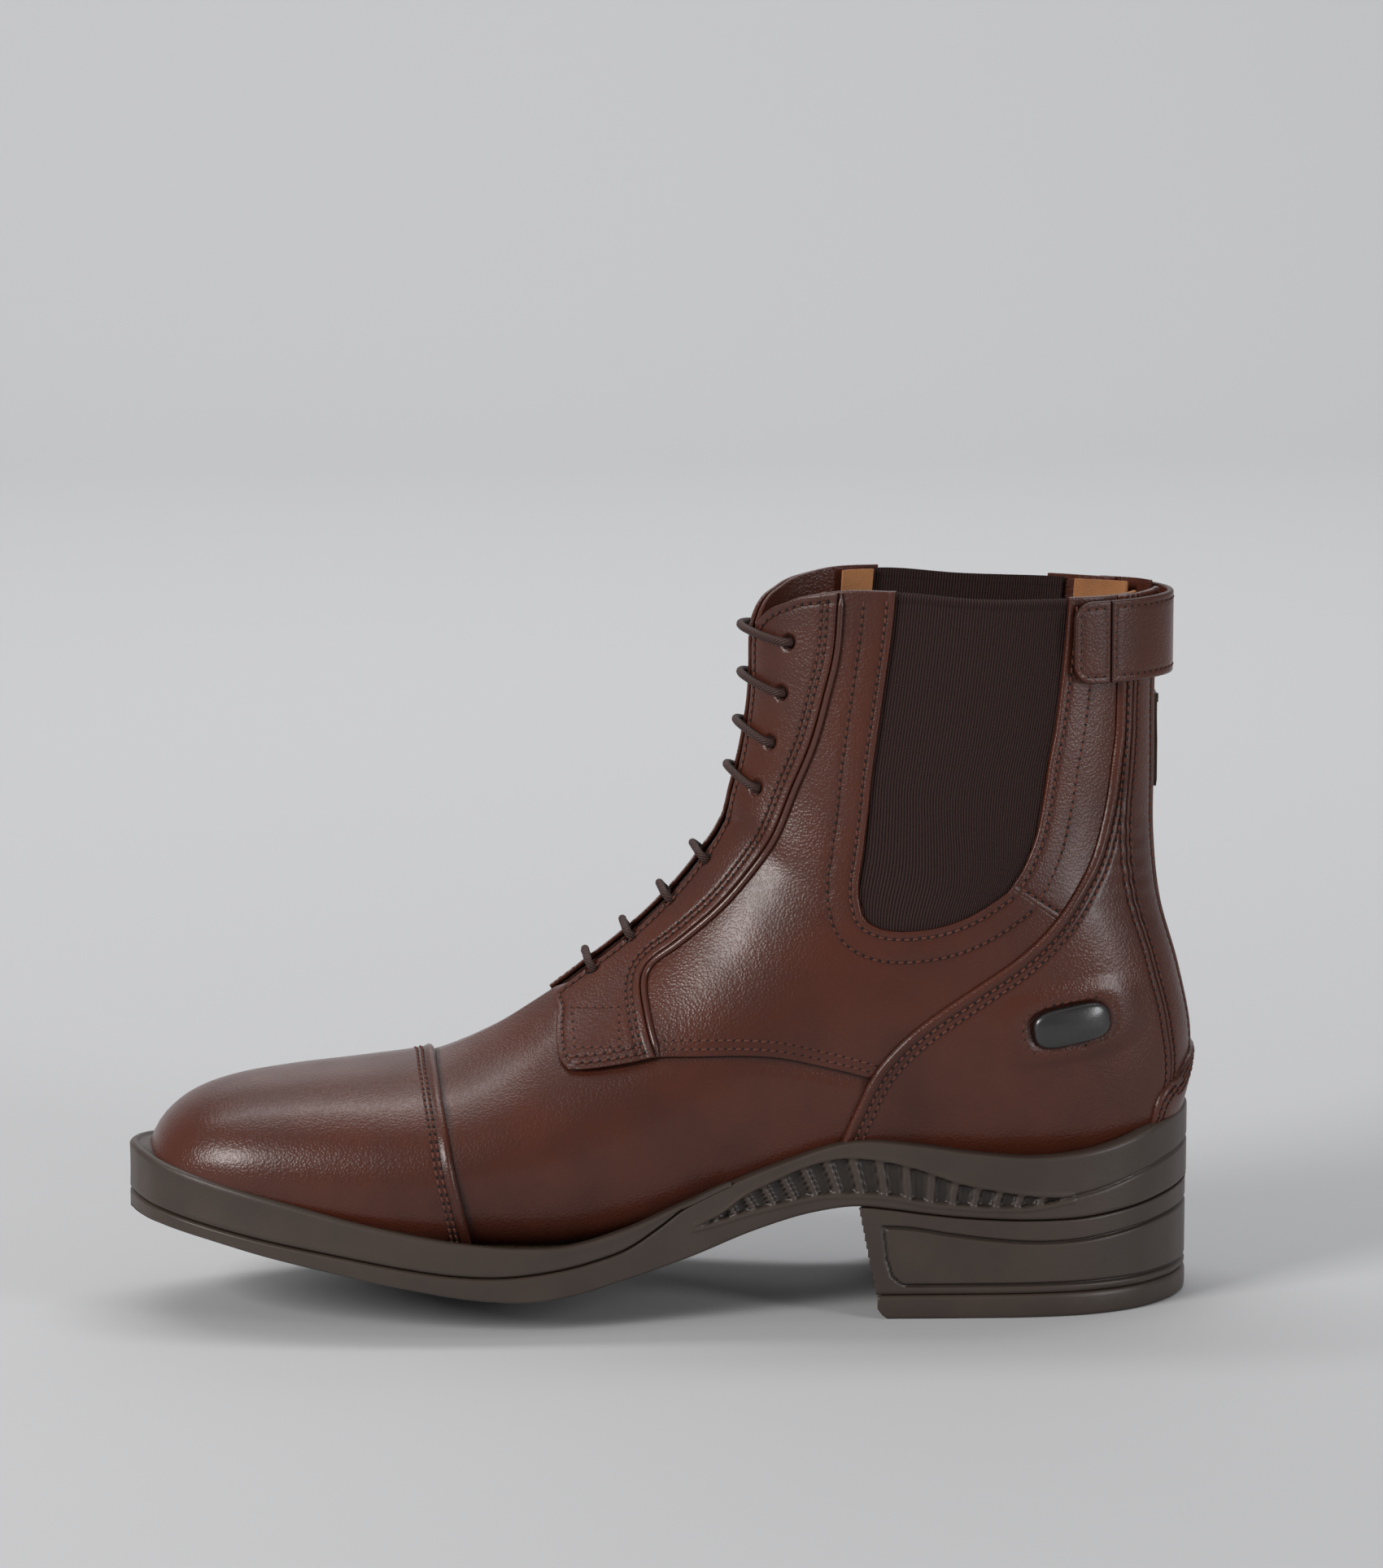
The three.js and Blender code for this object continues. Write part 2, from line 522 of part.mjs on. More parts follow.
const stripLine = smooth(STRIP_EDGE, 1);
const stripZone = (extra) =>
  crossPrism(
    [...stripLine.map(([y, z]) => [-y - extra, z]), ...stripLine.map(([y, z]) => [y + extra, z]).reverse()],
    100,
    180,
  );
const covers = overLayer
  .intersect(throughout(behind(counterLine)))
  .subtract(stripZone(GAP))
  .subtract(margin);
const strips = overLayer.intersect(stripZone(0)).subtract(block(100, 180, -ZIP_HALF, ZIP_HALF, ZIP_BOTTOM, 260));
const spurOutline = () => {
  const [length, height] = SPUR_SIZE;
  const corner = height / 2 - 1;
  const shape = [];
  for (let i = 0; i < 16; i++) {
    const a = (i / 16) * 2 * Math.PI + Math.PI / 16;
    const u = Math.cos(a) * corner + Math.sign(Math.cos(a)) * (length / 2 - corner);
    const v = Math.sin(a) * corner + Math.sign(Math.sin(a)) * (height / 2 - corner);
    const tilt = (SPUR_TILT * Math.PI) / 180;
    shape.push([
      SPUR_CENTRE[0] + u * Math.cos(tilt) - v * Math.sin(tilt),
      SPUR_CENTRE[1] + u * Math.sin(tilt) + v * Math.cos(tilt),
    ]);
  }
  return shape;
};
const spurs = layer([OVER[1] + GAP, OVER[1] + GAP + SPUR_PROUD]).intersect(throughout(spurOutline()));
const elastics = underLayer.intersect(throughout(shifted(gussetLine, GUSSET_LAP)));
const tapes = underLayer
  .intersect(block(100, 180, -TAPE_HALF, TAPE_HALF, ZIP_BOTTOM + GAP, ZIP_TOP + 6))
  .subtract(block(100, 180, -TEETH_HALF, TEETH_HALF, 0, 260));

// The tab's plan, from its sewn end on the medial side, round the back, to its free end on the lateral side.
const TAB_PLAN = [[111.2, -25.6], [122, -22.2], [131.5, -16.6], [139, -8.4], [141.2, 0], [139, 8.6], [131.5, 17.8],
  [120, 24.4], [108, 27.6]];
const tabCurve = new THREE.SplineCurve(TAB_PLAN.map(([x, y]) => new THREE.Vector2(x, y)));

// The press stud that holds the tab's free end goes through the lateral wall behind the gusset.
const snapAt = tabCurve.getSpacedPoints(200).findLast((p) => p.x > SNAP_PLACE[0]);
const tabBeside = tabCurve.getSpacedPoints(200).findLast((p) => p.x > SNAP_PLACE[0] + 1);
const tabRun = new THREE.Vector2().subVectors(snapAt, tabBeside).normalize();
const snapAxis = [tabRun.y, -tabRun.x, 0];
const snapCentre = [snapAt.x, snapAt.y, SNAP_PLACE[1]];
const TAB_STAND = snapCentre[1] - onSide(snapCentre[0], SNAP_PLACE[1], 1).point[1];
const snapSeat = snapCentre.map((v, i) => v - snapAxis[i] * TAB_STAND);
const snapHole = (side) => {
  const [start, end] = side.sign > 0 ? [-9, 1.5] : [30, 31];
  return pin(snapSeat, snapAxis, SNAP_POST + 2 * GAP, start, end);
};

const tapeHalf = (side) => onlySide([[100, 0], [180, 0], [180, 260], [100, 260]], side, 0);
for (const side of SIDES) {
  const half = onlySide([[-FAR, -50], [FAR, -50], [FAR, 260], [-FAR, 260]], side);
  const punched = punches(side);
  add(`quarter_${side.name}`, quarters.intersect(half).subtract(gussetHole).intersect(gussetFront).subtract(punched),
    "leather");
  const strip = quarters.intersect(half).subtract(gussetHole).intersect(gussetRear);
  add(`gusset_strip_${side.name}`, strip.subtract(snapHole(side)), "leather");
  add(`gusset_${side.name}`, elastics.intersect(half).subtract(snapHole(side)), "elastic");
  add(`facing_${side.name}`, facings.intersect(half).subtract(punched), "leather");
  add(`facing_piping_${side.name}`, pipings.intersect(half), "leather");
  add(`counter_cover_${side.name}`, covers.intersect(half), "leather");
  add(`back_strip_${side.name}`, strips.intersect(half), "leather");
  add(`spur_rest_${side.name}`, spurs.intersect(half), "spur");
  add(`zip_tape_${side.name}`, tapes.intersect(tapeHalf(side)), "zip");
}
const stiffenerLine = smooth(STIFFENER_TOP, 1);
add(
  "heel_counter",
  baseLayer
    .intersect(behindCounter)
    .intersect(throughout([[-FAR, -50], [-FAR, 60], ...stiffenerLine, [FAR, 103], [FAR, -50]]))
    .subtract(block(100, 180, -TAPE_HALF - 2, TAPE_HALF + 2, ZIP_BOTTOM - 4, 260))
    .subtract(margin),
  "board",
);
const rimCurve = smooth(RIM_LINE, 1);
const aboveRim = [...shifted(rimCurve, -GAP), [FAR, 60], [FAR, 300], [-FAR, 300], [-FAR, 60]];
add("heel_patch", layer(PATCHED).intersect(throughout(behind(patchLine))).intersect(throughout(aboveRim)), "leather");

// ---------------------------------------------------------------- inside
const lined = layer(LINED).intersect(belowTop);
const liningAhead = LINING_SPLIT;
const liningRear = lined
  .intersect(throughout(behind(shifted(liningAhead, -GAP / 2))))
  .subtract(throughout(shifted(gussetLine, -2)))
  .subtract(throughout([...shifted(rearLine.slice(0, 11), -0.6), [-7, 82], [-30, 78], [-30, 240], [60, 240]]))
  .subtract(block(100, 180, -9, 9, ZIP_BOTTOM - 2, 260));
add("lining_vamp", lined.intersect(throughout(ahead(shifted(liningAhead, GAP / 2)))), "lining");
for (const side of SIDES) {
  const half = onlySide([[-FAR, -50], [FAR, -50], [FAR, 260], [-FAR, 260]], side);
  add(`lining_${side.name}`, liningRear.intersect(half).subtract(snapHole(side)), "lining");
}
const TONGUE_AREA = [[-44, 150], [-44, 66], [-18, 74], [10, 96], [34, 130], [50, 172], [60, 215], [60, 260]];
const TONGUE_TOP = [[-60, 160], [24, 182], [31, 190], [40, 195], [52, 197.5], [70, 198], [70, 40], [-60, 40]];
add(
  "tongue",
  layer(TONGUED)
    .intersect(prism(TONGUE_AREA, -TONGUE_HALF, TONGUE_HALF))
    .intersect(throughout(TONGUE_TOP)),
  "leather",
);
const footFloor = throughout([[-160, -20], [160, -20], [160, 55], [-160, 41]]);
add("footbed", layer(SOCKED).intersect(soleInside(13, -20, 60)).intersect(footFloor), "lining");
add("insole_board", layer(UNDER).intersect(soleInside(7, -20, UNDERSIDE + 2)), "board");

// The shank lies in a pocket in the top of the filler, under the insole board.
const SHANK_DEPTH = [BASE[0] + 0.1, BASE[0] + 0.1 + SHANK_THICK];
const shankZone = (clear) =>
  block(-38 - clear, -38 + SHANK_LENGTH + clear, -SHANK_WIDTH / 2 - clear, SHANK_WIDTH / 2 + clear, -20, 60);
const filler = layer([BASE[0], OVER[1]]).intersect(soleInside(LASTING_MARGIN + GAP, -20, UNDERSIDE));
const pocket = layer([BASE[0] - 1, SHANK_DEPTH[1] + GAP]).intersect(shankZone(GAP));
add("cork_filler", filler.subtract(pocket), "cork");
add("shank", layer(SHANK_DEPTH).intersect(shankZone(0)), "steel");

// ---------------------------------------------------------------- sole
// A slice of the sole between two side lines, with its tread let down in the middle at the ball of the foot.
function soleSlice(lower, upper, { from = -146.2, to = 147, crown = 0, taper = 0 } = {}) {
  const stations = [from, ...SOLE_PLAN.map((row) => row[0]).filter((x) => x > from + 1.5 && x < to - 1.5), to];
  const rings = stations.map((x) => {
    const row = SOLE_PLAN.findIndex((r) => r[0] > x - 1e-6);
    const i = Math.max(1, row);
    const [a, b] = [SOLE_PLAN[i - 1], SOLE_PLAN[i]];
    const u = clamp((x - a[0]) / (b[0] - a[0]), 0, 1);
    const [, medial, lateral] = through(SOLE_PLAN, i - 1 + u);
    const z0 = heightAt(lower, x);
    const z1 = heightAt(upper, x);
    const reach = Math.max(0, 1 - ((x - BALL_X) / BALL_REACH) ** 2);
    const drop = crown * reach;
    const bulge = 1.2;
    const middle = (z0 + z1) / 2;
    return [
      [x, -medial + bulge + taper, z0],
      [x, -medial * 0.72, z0 - drop * 0.85],
      [x, (lateral - medial) / 2, z0 - drop],
      [x, lateral * 0.72, z0 - drop * 0.85],
      [x, lateral - bulge - taper, z0],
      [x, lateral - taper / 2, middle],
      [x, lateral - bulge / 2, z1],
      [x, (lateral - medial) / 2, z1],
      [x, -medial + bulge / 2, z1],
      [x, -medial + taper / 2, middle],
    ];
  });
  return ringBody(rings);
}

const cup = soleSlice(BOTTOM_LINE, RIM_LINE, { crown: TREAD_DROP }).subtract(lastBody(SOLE_SEAT));
const grooveUp = [...shifted(smooth(GROOVE_LINE, 1), -GAP / 2), [17.5, 42], [17.5, 300], [-FAR, 300], [-FAR, 33.2]];
const grooveDown = [...shifted(smooth(GROOVE_LINE, 1), GAP / 2), [18, 41], [18, 300], [-FAR, 300], [-FAR, 32.8]];
add("welt", cup.intersect(throughout(grooveUp)).subtract(soleInside(11, -20, 60)), "rubber");
const TREAD_GROOVES = { count: 8, first: -104, pitch: 12.5, width: 3, depth: 1.6 };
const treadCuts = Array.from({ length: TREAD_GROOVES.count }, (_, i) => {
  const x = TREAD_GROOVES.first + i * TREAD_GROOVES.pitch;
  const floor = heightAt(BOTTOM_LINE, x) - TREAD_DROP * Math.max(0, 1 - ((x - BALL_X) / BALL_REACH) ** 2);
  return block(x, x + TREAD_GROOVES.width, -70, 70, floor - 10, floor + TREAD_GROOVES.depth);
}).reduce((all, one) => all.add(one));
add("outsole", cup.subtract(throughout(grooveDown)).subtract(treadCuts), "rubber");

const HEEL_FRONT = 54;
const heelTop = BOTTOM_LINE.map(([x, z]) => [x, z - GAP]);
const flat = (z) => [[-150, z], [150, z]];
const breast = (x, z) => prism([[x, z + 60], [x + 5.5, 0], [x + 5.5, -20], [FAR, -20], [FAR, z + 60]], -80, 80);
add(
  "heel_block",
  soleSlice(flat(HEEL_LIFT + GAP), heelTop, { from: 34, taper: 1 }).intersect(breast(HEEL_FRONT - 6, 6)),
  "rubber",
);
const liftOutline = [[HEEL_FRONT + 3, HEEL_LIFT], [HEEL_FRONT + 4.5, 2.5], [HEEL_FRONT + 8, 0], [FAR, 0],
  [FAR, HEEL_LIFT]];
add("heel_lift", soleSlice(flat(0), flat(HEEL_LIFT), { from: HEEL_FRONT, taper: 1 }).intersect(throughout(liftOutline)),
  "rubber");

// ---------------------------------------------------------------- zip
// The teeth stand on the two tapes, and end where the slider rests.
const teethBand = layer([-3.4, -1]).intersect(block(100, 180, -TEETH_HALF + GAP, TEETH_HALF - GAP, ZIP_BOTTOM + 3,
  ZIP_SPLIT));
const toothGaps = [];
for (let z = ZIP_BOTTOM + 5; z < ZIP_SPLIT - 1; z += TOOTH_PITCH * 2) {
  toothGaps.push(block(100, 180, -2, 2, z, z + TOOTH_PITCH));
}
const teeth = toothGaps.reduce((all, one) => all.subtract(one), teethBand);
for (const side of SIDES) {
  add(`zip_teeth_${side.name}`, teeth.intersect(onlySide([[100, 0], [180, 0], [180, 260], [100, 260]], side,
    TEETH_GAP)), "zip");
}
add("zip_bottom_stop", layer([-3.6, -0.6]).intersect(block(100, 180, -TEETH_HALF + GAP, TEETH_HALF - GAP,
  ZIP_BOTTOM, ZIP_BOTTOM + 3 - GAP)), "brass");

// The slider runs on the straight upper stretch of the back, where the boot's back is upright.
const BACK_X = lastPoint(22.5, Math.PI / AROUND)[0];
const SLIDER_TOP = ZIP_SPLIT + 7.5;
const SLIDER_LOW = ZIP_SPLIT - 1.5;
const SLIDER_HALF = 4.2;
const PULL_Z = ZIP_SPLIT + 3.5;
const PULL_DEPTH = 2.2; // the puller's pin, outwards from the base leather's face
const sliderPlate = block(BACK_X - 0.65, BACK_X + 0.55, -SLIDER_HALF, SLIDER_HALF, SLIDER_LOW, SLIDER_TOP);
const sliderBack = block(BACK_X - 5, BACK_X - 3.75, -SLIDER_HALF, SLIDER_HALF, SLIDER_LOW, SLIDER_TOP);
const sliderWeb = block(BACK_X - 4, BACK_X, -0.4, 0.4, ZIP_SPLIT + 1, SLIDER_TOP - 1);
const lug = (y) => block(BACK_X + 0.3, BACK_X + PULL_DEPTH + 1, y - 0.45, y + 0.45, PULL_Z - 1.2, PULL_Z + 1.2);
const pullPin = pin([BACK_X + PULL_DEPTH, 0, PULL_Z], [0, 1, 0], 0.5, -3.4, 3.4, 8);
add("zip_slider", sliderPlate.add(sliderBack).add(sliderWeb).add(lug(-3)).add(lug(3)).add(pullPin), "brass");
const PULL_LENGTH = 25;
const pullOutline = [[-2.1, PULL_Z + 1.1], [2.1, PULL_Z + 1.1], [2.1, PULL_Z - 6], [3.2, PULL_Z - 12],
  [3.2, PULL_Z - PULL_LENGTH + 2], [1.6, PULL_Z - PULL_LENGTH], [-1.6, PULL_Z - PULL_LENGTH],
  [-3.2, PULL_Z - PULL_LENGTH + 2], [-3.2, PULL_Z - 12], [-2.1, PULL_Z - 6]];
add(
  "zip_puller",
  crossPrism(pullOutline, BACK_X + PULL_DEPTH - 0.9, BACK_X + PULL_DEPTH + 0.9)
    .add(pin([BACK_X + PULL_DEPTH, 0, PULL_Z], [0, 1, 0], 1.3, -2.1, 2.1, 10))
    .subtract(pin([BACK_X + PULL_DEPTH, 0, PULL_Z], [0, 1, 0], 0.8, -3, 3, 10)),
  "brass",
);

// ---------------------------------------------------------------- tab over the top of the zip
const TAB_STEPS = 26;
const tabStations = tabCurve.getSpacedPoints(TAB_STEPS).map((p) => [p.x, p.y]);
const tabOutline = [...shifted(tabStations, -TAB_THICK / 2), ...shifted(tabStations, TAB_THICK / 2).reverse()];
const tabSolid = planPrism(tabOutline, TAB_LOW, TAB_HIGH);
const TAB_BEVEL = TAB_CORNER * 0.3;
const tabEnd = (x) => [[x, TAB_LOW + TAB_CORNER], [x + TAB_BEVEL, TAB_LOW + TAB_BEVEL], [x + TAB_CORNER, TAB_LOW],
  [FAR, TAB_LOW], [FAR, TAB_HIGH], [x + TAB_CORNER, TAB_HIGH], [x + TAB_BEVEL, TAB_HIGH - TAB_BEVEL],
  [x, TAB_HIGH - TAB_CORNER]];
const tabRounded = tabSolid.intersect(throughout(tabEnd(107.4)));
const nearSide = (low, high) => block(low, high, -60, -10, 0, 260);
add("tab_base", tabRounded.intersect(nearSide(100, TAB_STITCH - GAP / 2)).intersect(throughout(tabEnd(111.6))),
  "leather");
add(
  "tab_strap",
  tabRounded.subtract(nearSide(0, TAB_STITCH + GAP / 2)).subtract(pin(snapCentre, snapAxis, 2, -2, 3)),
  "leather",
);
add(
  "snap_cap",
  pin(snapCentre, snapAxis, SNAP_RADIUS, TAB_THICK / 2 + GAP, TAB_THICK / 2 + GAP + 1, 16)
    .add(pin(snapCentre, snapAxis, 1.6, -TAB_THICK / 2 - 0.3, TAB_THICK / 2 + 0.6, 10)),
  "brass",
);
add(
  "snap_back",
  pin(snapSeat, snapAxis, SNAP_RADIUS, LINED[0] - 2, 0, 16)
    .intersect(lastBody(LINED[0] - GAP))
    .add(pin(snapSeat, snapAxis, SNAP_POST, LINED[0] - 1, 0.9, 10)),
  "brass",
);
add(
  "snap_stud",
  pin(snapSeat, snapAxis, SNAP_RADIUS - 1.4, -1, 1.2, 14)
    .subtract(lastBody(GAP))
    .subtract(pin(snapSeat, snapAxis, SNAP_POST + GAP, -3, 2, 10)),
  "brass",
);

// ---------------------------------------------------------------- lace
// One lace, with a straight bar across the throat at every row. Each bar's ends go in through their holes and run
// up behind the facing to the row after next, so the odd rows and the even rows are the lace's two halves. Its
// free ends are tucked in behind the facing. The list is the order of the holes, as row and side.
const LACE_ORDER = [[7, -1], [7, 1], [5, 1], [5, -1], [3, -1], [3, 1], [1, 1], [1, -1], [2, -1], [2, 1], [4, 1],
  [4, -1], [6, -1], [6, 1], [8, 1], [8, -1]];
const LACE_SIDES = 6;
const LACE_BEND = 1.6; // how far a bend cuts its corner
const TAIL = 0.6; // share of a row that a free end reaches

const holeAt = ([row, sign]) => ({ sign, ...holes.get(SIDES[sign < 0 ? 0 : 1])[row - 1] });
const moved = (p, direction, distance) => p.map((v, i) => v + direction[i] * distance);

function bar(start, end) {
  return [0.14, 0.32, 0.5, 0.68, 0.86].map((u) => {
    const angle = lerp(start.angle, 2 * Math.PI - end.angle, u);
    const wrapped = angle > Math.PI ? angle - 2 * Math.PI : angle;
    return lastPoint(lerp(start.t, end.t, u), start.sign * wrapped, LACE_OUTSIDE);
  });
}

// A run behind the facing between two holes on one side, which passes the hole between them by a swerve.
function run(start, end, swerve, share = 1) {
  return [0.25, 0.5, 0.75].filter((u) => u < share).map((u) => {
    const angle = lerp(start.angle, end.angle, u);
    const t = lerp(start.t, end.t, u);
    const place = lastPoint(t, start.sign * angle, LACE_INSIDE);
    const beside = lastPoint(t, start.sign * (angle + 0.05), LACE_INSIDE);
    const away = new THREE.Vector3().fromArray(beside).sub(new THREE.Vector3().fromArray(place)).normalize();
    return moved(place, away.toArray(), swerve * Math.sin(Math.PI * u));
  });
}

// The way through a hole, from inside to outside, with its corners cut towards the points it comes from and goes to.
function passage(at, inside, outside) {
  const normal = new THREE.Vector3().fromArray(at.normal);
  const flatTo = (p) => {
    const way = new THREE.Vector3().fromArray(p).sub(new THREE.Vector3().fromArray(at.point));
    return way.addScaledVector(normal, -way.dot(normal)).normalize().toArray();
  };
  return [
    moved(moved(at.point, at.normal, LACE_INSIDE), flatTo(inside), LACE_BEND),
    moved(at.point, at.normal, LACE_INSIDE + LACE_BEND),
    moved(at.point, at.normal, LACE_OUTSIDE - LACE_BEND),
    moved(moved(at.point, at.normal, LACE_OUTSIDE), flatTo(outside), LACE_BEND),
  ];
}

const laceHoles = LACE_ORDER.map(holeAt);
const stretches = laceHoles.slice(1).map((end, i) => {
  const start = laceHoles[i];
  if (i % 2 === 0) return bar(start, end);
  const row = LACE_ORDER[i][0];
  const neighbours = Math.abs(LACE_ORDER[i + 1][0] - row) === 1;
  return run(start, end, neighbours ? 0 : row % 2 ? -LACE_SWERVE : LACE_SWERVE);
});
const firstTail = run(laceHoles[0], holeAt([6, -1]), -LACE_SWERVE, TAIL);
const lastTail = run(laceHoles[15], holeAt([7, -1]), -LACE_SWERVE, TAIL);
const laceRoute = [...firstTail].reverse();
laceHoles.forEach((at, i) => {
  const before = i > 0 ? stretches[i - 1] : [...firstTail].reverse();
  const after = i < 15 ? stretches[i] : lastTail;
  const from = before[before.length - 1];
  laceRoute.push(...(i % 2 === 0 ? passage(at, from, after[0]) : passage(at, after[0], from).reverse()), ...after);
});

// Sweeps a round section of a few sides along a line of points.
function sweep(points, radius, sides) {
  const normal = new THREE.Vector3(0, 0, 1);
  return ringBody(
    points.map((p, i) => {
      const ahead = new THREE.Vector3().fromArray(points[Math.min(i + 1, points.length - 1)]);
      const tangent = ahead.sub(new THREE.Vector3().fromArray(points[Math.max(i - 1, 0)])).normalize();
      normal.addScaledVector(tangent, -normal.dot(tangent)).normalize();
      const across = new THREE.Vector3().crossVectors(tangent, normal);
      return Array.from({ length: sides }, (_, j) => {
        const angle = (2 * Math.PI * j) / sides;
        return moved(moved(p, normal.toArray(), Math.cos(angle) * radius), across.toArray(), Math.sin(angle) * radius);
      });
    }),
  );
}
add("lace", sweep(laceRoute, LACE / 2, LACE_SIDES), "lace");

export default boot;
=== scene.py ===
"""The looks of a laced paddock riding boot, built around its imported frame.

The upper is a set of leather panels over one last surface. Every seam is a line on that surface, every panel
is a patch between four of them with rolled or tucked edges, and the stitching follows the panels' edges.
Lengths are in millimetres in the last's own frame until a mesh is made, which is in metres in the row frame.
"""

import logging
import math
from collections.abc import Callable, Sequence
from dataclasses import dataclass, field
from enum import Enum

import bpy
import numpy as np
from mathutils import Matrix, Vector


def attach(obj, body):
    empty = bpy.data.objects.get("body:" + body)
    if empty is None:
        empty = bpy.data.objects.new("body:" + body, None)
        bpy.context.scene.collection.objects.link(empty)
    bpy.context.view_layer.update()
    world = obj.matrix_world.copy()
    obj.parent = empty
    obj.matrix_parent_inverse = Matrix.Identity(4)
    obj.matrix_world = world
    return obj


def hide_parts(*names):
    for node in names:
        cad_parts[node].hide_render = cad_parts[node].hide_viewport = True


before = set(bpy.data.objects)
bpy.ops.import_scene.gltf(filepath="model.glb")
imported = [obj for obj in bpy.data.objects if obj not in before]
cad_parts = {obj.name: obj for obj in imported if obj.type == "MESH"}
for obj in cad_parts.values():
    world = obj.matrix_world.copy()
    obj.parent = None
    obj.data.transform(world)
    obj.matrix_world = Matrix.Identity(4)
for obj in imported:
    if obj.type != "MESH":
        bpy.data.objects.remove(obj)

Array = np.ndarray
Line = Sequence[tuple[float, float]]

log = logging.getLogger("boot")
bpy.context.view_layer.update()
CENTRE = np.array([0.52, 2.75, 0.0])  # the row frame's origin, in the last's frame
MM = 0.001
HALVINGS = 26  # steps of every bisection
NEWTON_STEPS = 14
PROBE = 0.01  # the step of a central difference on the last, in sections or radians


class Side(Enum):
    """A side of the boot; the value is the sign of Y."""

    MEDIAL = -1
    LATERAL = 1

    def named(self, part: str) -> str:
        """The name of this side's copy of a part."""
        return f"{part}_{self.name.lower()}"


class EdgeKind(Enum):
    """How a panel ends: cut and thinned, folded over a bead, or tucked under its neighbour."""

    CUT = "cut"
    FOLD = "fold"
    TUCK = "tuck"


# ------------------------------------------------------------------ lines and interpolation
def through(rows: Array, t: Array) -> Array:
    """Catmull-Rom spline through rows of numbers.

    Args:
        rows: One row of numbers for each knot.
        t: Where to read it, counted in rows.

    Returns:
        One row of numbers for each t.
    """
    rows = np.asarray(rows, float)
    padded = np.vstack([2 * rows[0] - rows[1], rows, 2 * rows[-1] - rows[-2]])
    i = np.clip(np.floor(t).astype(int), 0, len(rows) - 2)
    u = (t - i)[..., None]
    p0, p1, p2, p3 = (padded[i + k] for k in range(4))
    square = 2 * p0 - 5 * p1 + 4 * p2 - p3
    cubic = -p0 + 3 * p1 - 3 * p2 + p3
    return 0.5 * (2 * p1 + (p2 - p0) * u + square * u * u + cubic * u**3)


def dense(points: Line, per_span: int = 8) -> Array:
    """A smooth line through a few points, as many points."""
    rows = np.asarray(points, float)
    return through(rows, np.linspace(0, len(rows) - 1, (len(rows) - 1) * per_span + 1))


def smooth_at(x: Array, xs: Array, ys: Array) -> Array:
    """Cubic Hermite interpolation with central slopes, flat past both ends.

    Args:
        x: Where to read the line.
        xs: Its knots, rising.
        ys: Its values at the knots.

    Returns:
        The value at each x.
    """
    xs, ys = np.asarray(xs, float), np.asarray(ys, float)
    slopes = np.gradient(ys, xs)
    x = np.clip(x, xs[0], xs[-1])
    i = np.clip(np.searchsorted(xs, x, side="right") - 1, 0, len(xs) - 2)
    h = xs[i + 1] - xs[i]
    u = (x - xs[i]) / h
    a = (1 + 2 * u) * (1 - u) ** 2
    b = u * (1 - u) ** 2 * h
    c = u * u * (3 - 2 * u)
    d = u * u * (u - 1) * h
    return a * ys[i] + b * slopes[i] + c * ys[i + 1] + d * slopes[i + 1]


def ease(x: Array, low: float, high: float) -> Array:
    """0 below low, 1 above high, and a smooth step between them."""
    u = np.clip((x - low) / (high - low), 0, 1)
    return u * u * (3 - 2 * u)


def hump(x: Array, centre: float, width: float) -> Array:
    """A bell of height 1 round a centre."""
    return np.exp(-(((x - centre) / width) ** 2))


def arc_lengths(points: Array) -> Array:
    """Distance along a line of points, from its start."""
    return np.concatenate([[0.0], np.cumsum(np.linalg.norm(np.diff(points, axis=0), axis=1))])


def resample(points: Array, distances: Array, spacing: Array) -> Array:
    """Reads rows of numbers that go with given distances at new distances."""
    return np.stack([np.interp(spacing, distances, column) for column in points.T], axis=-1)


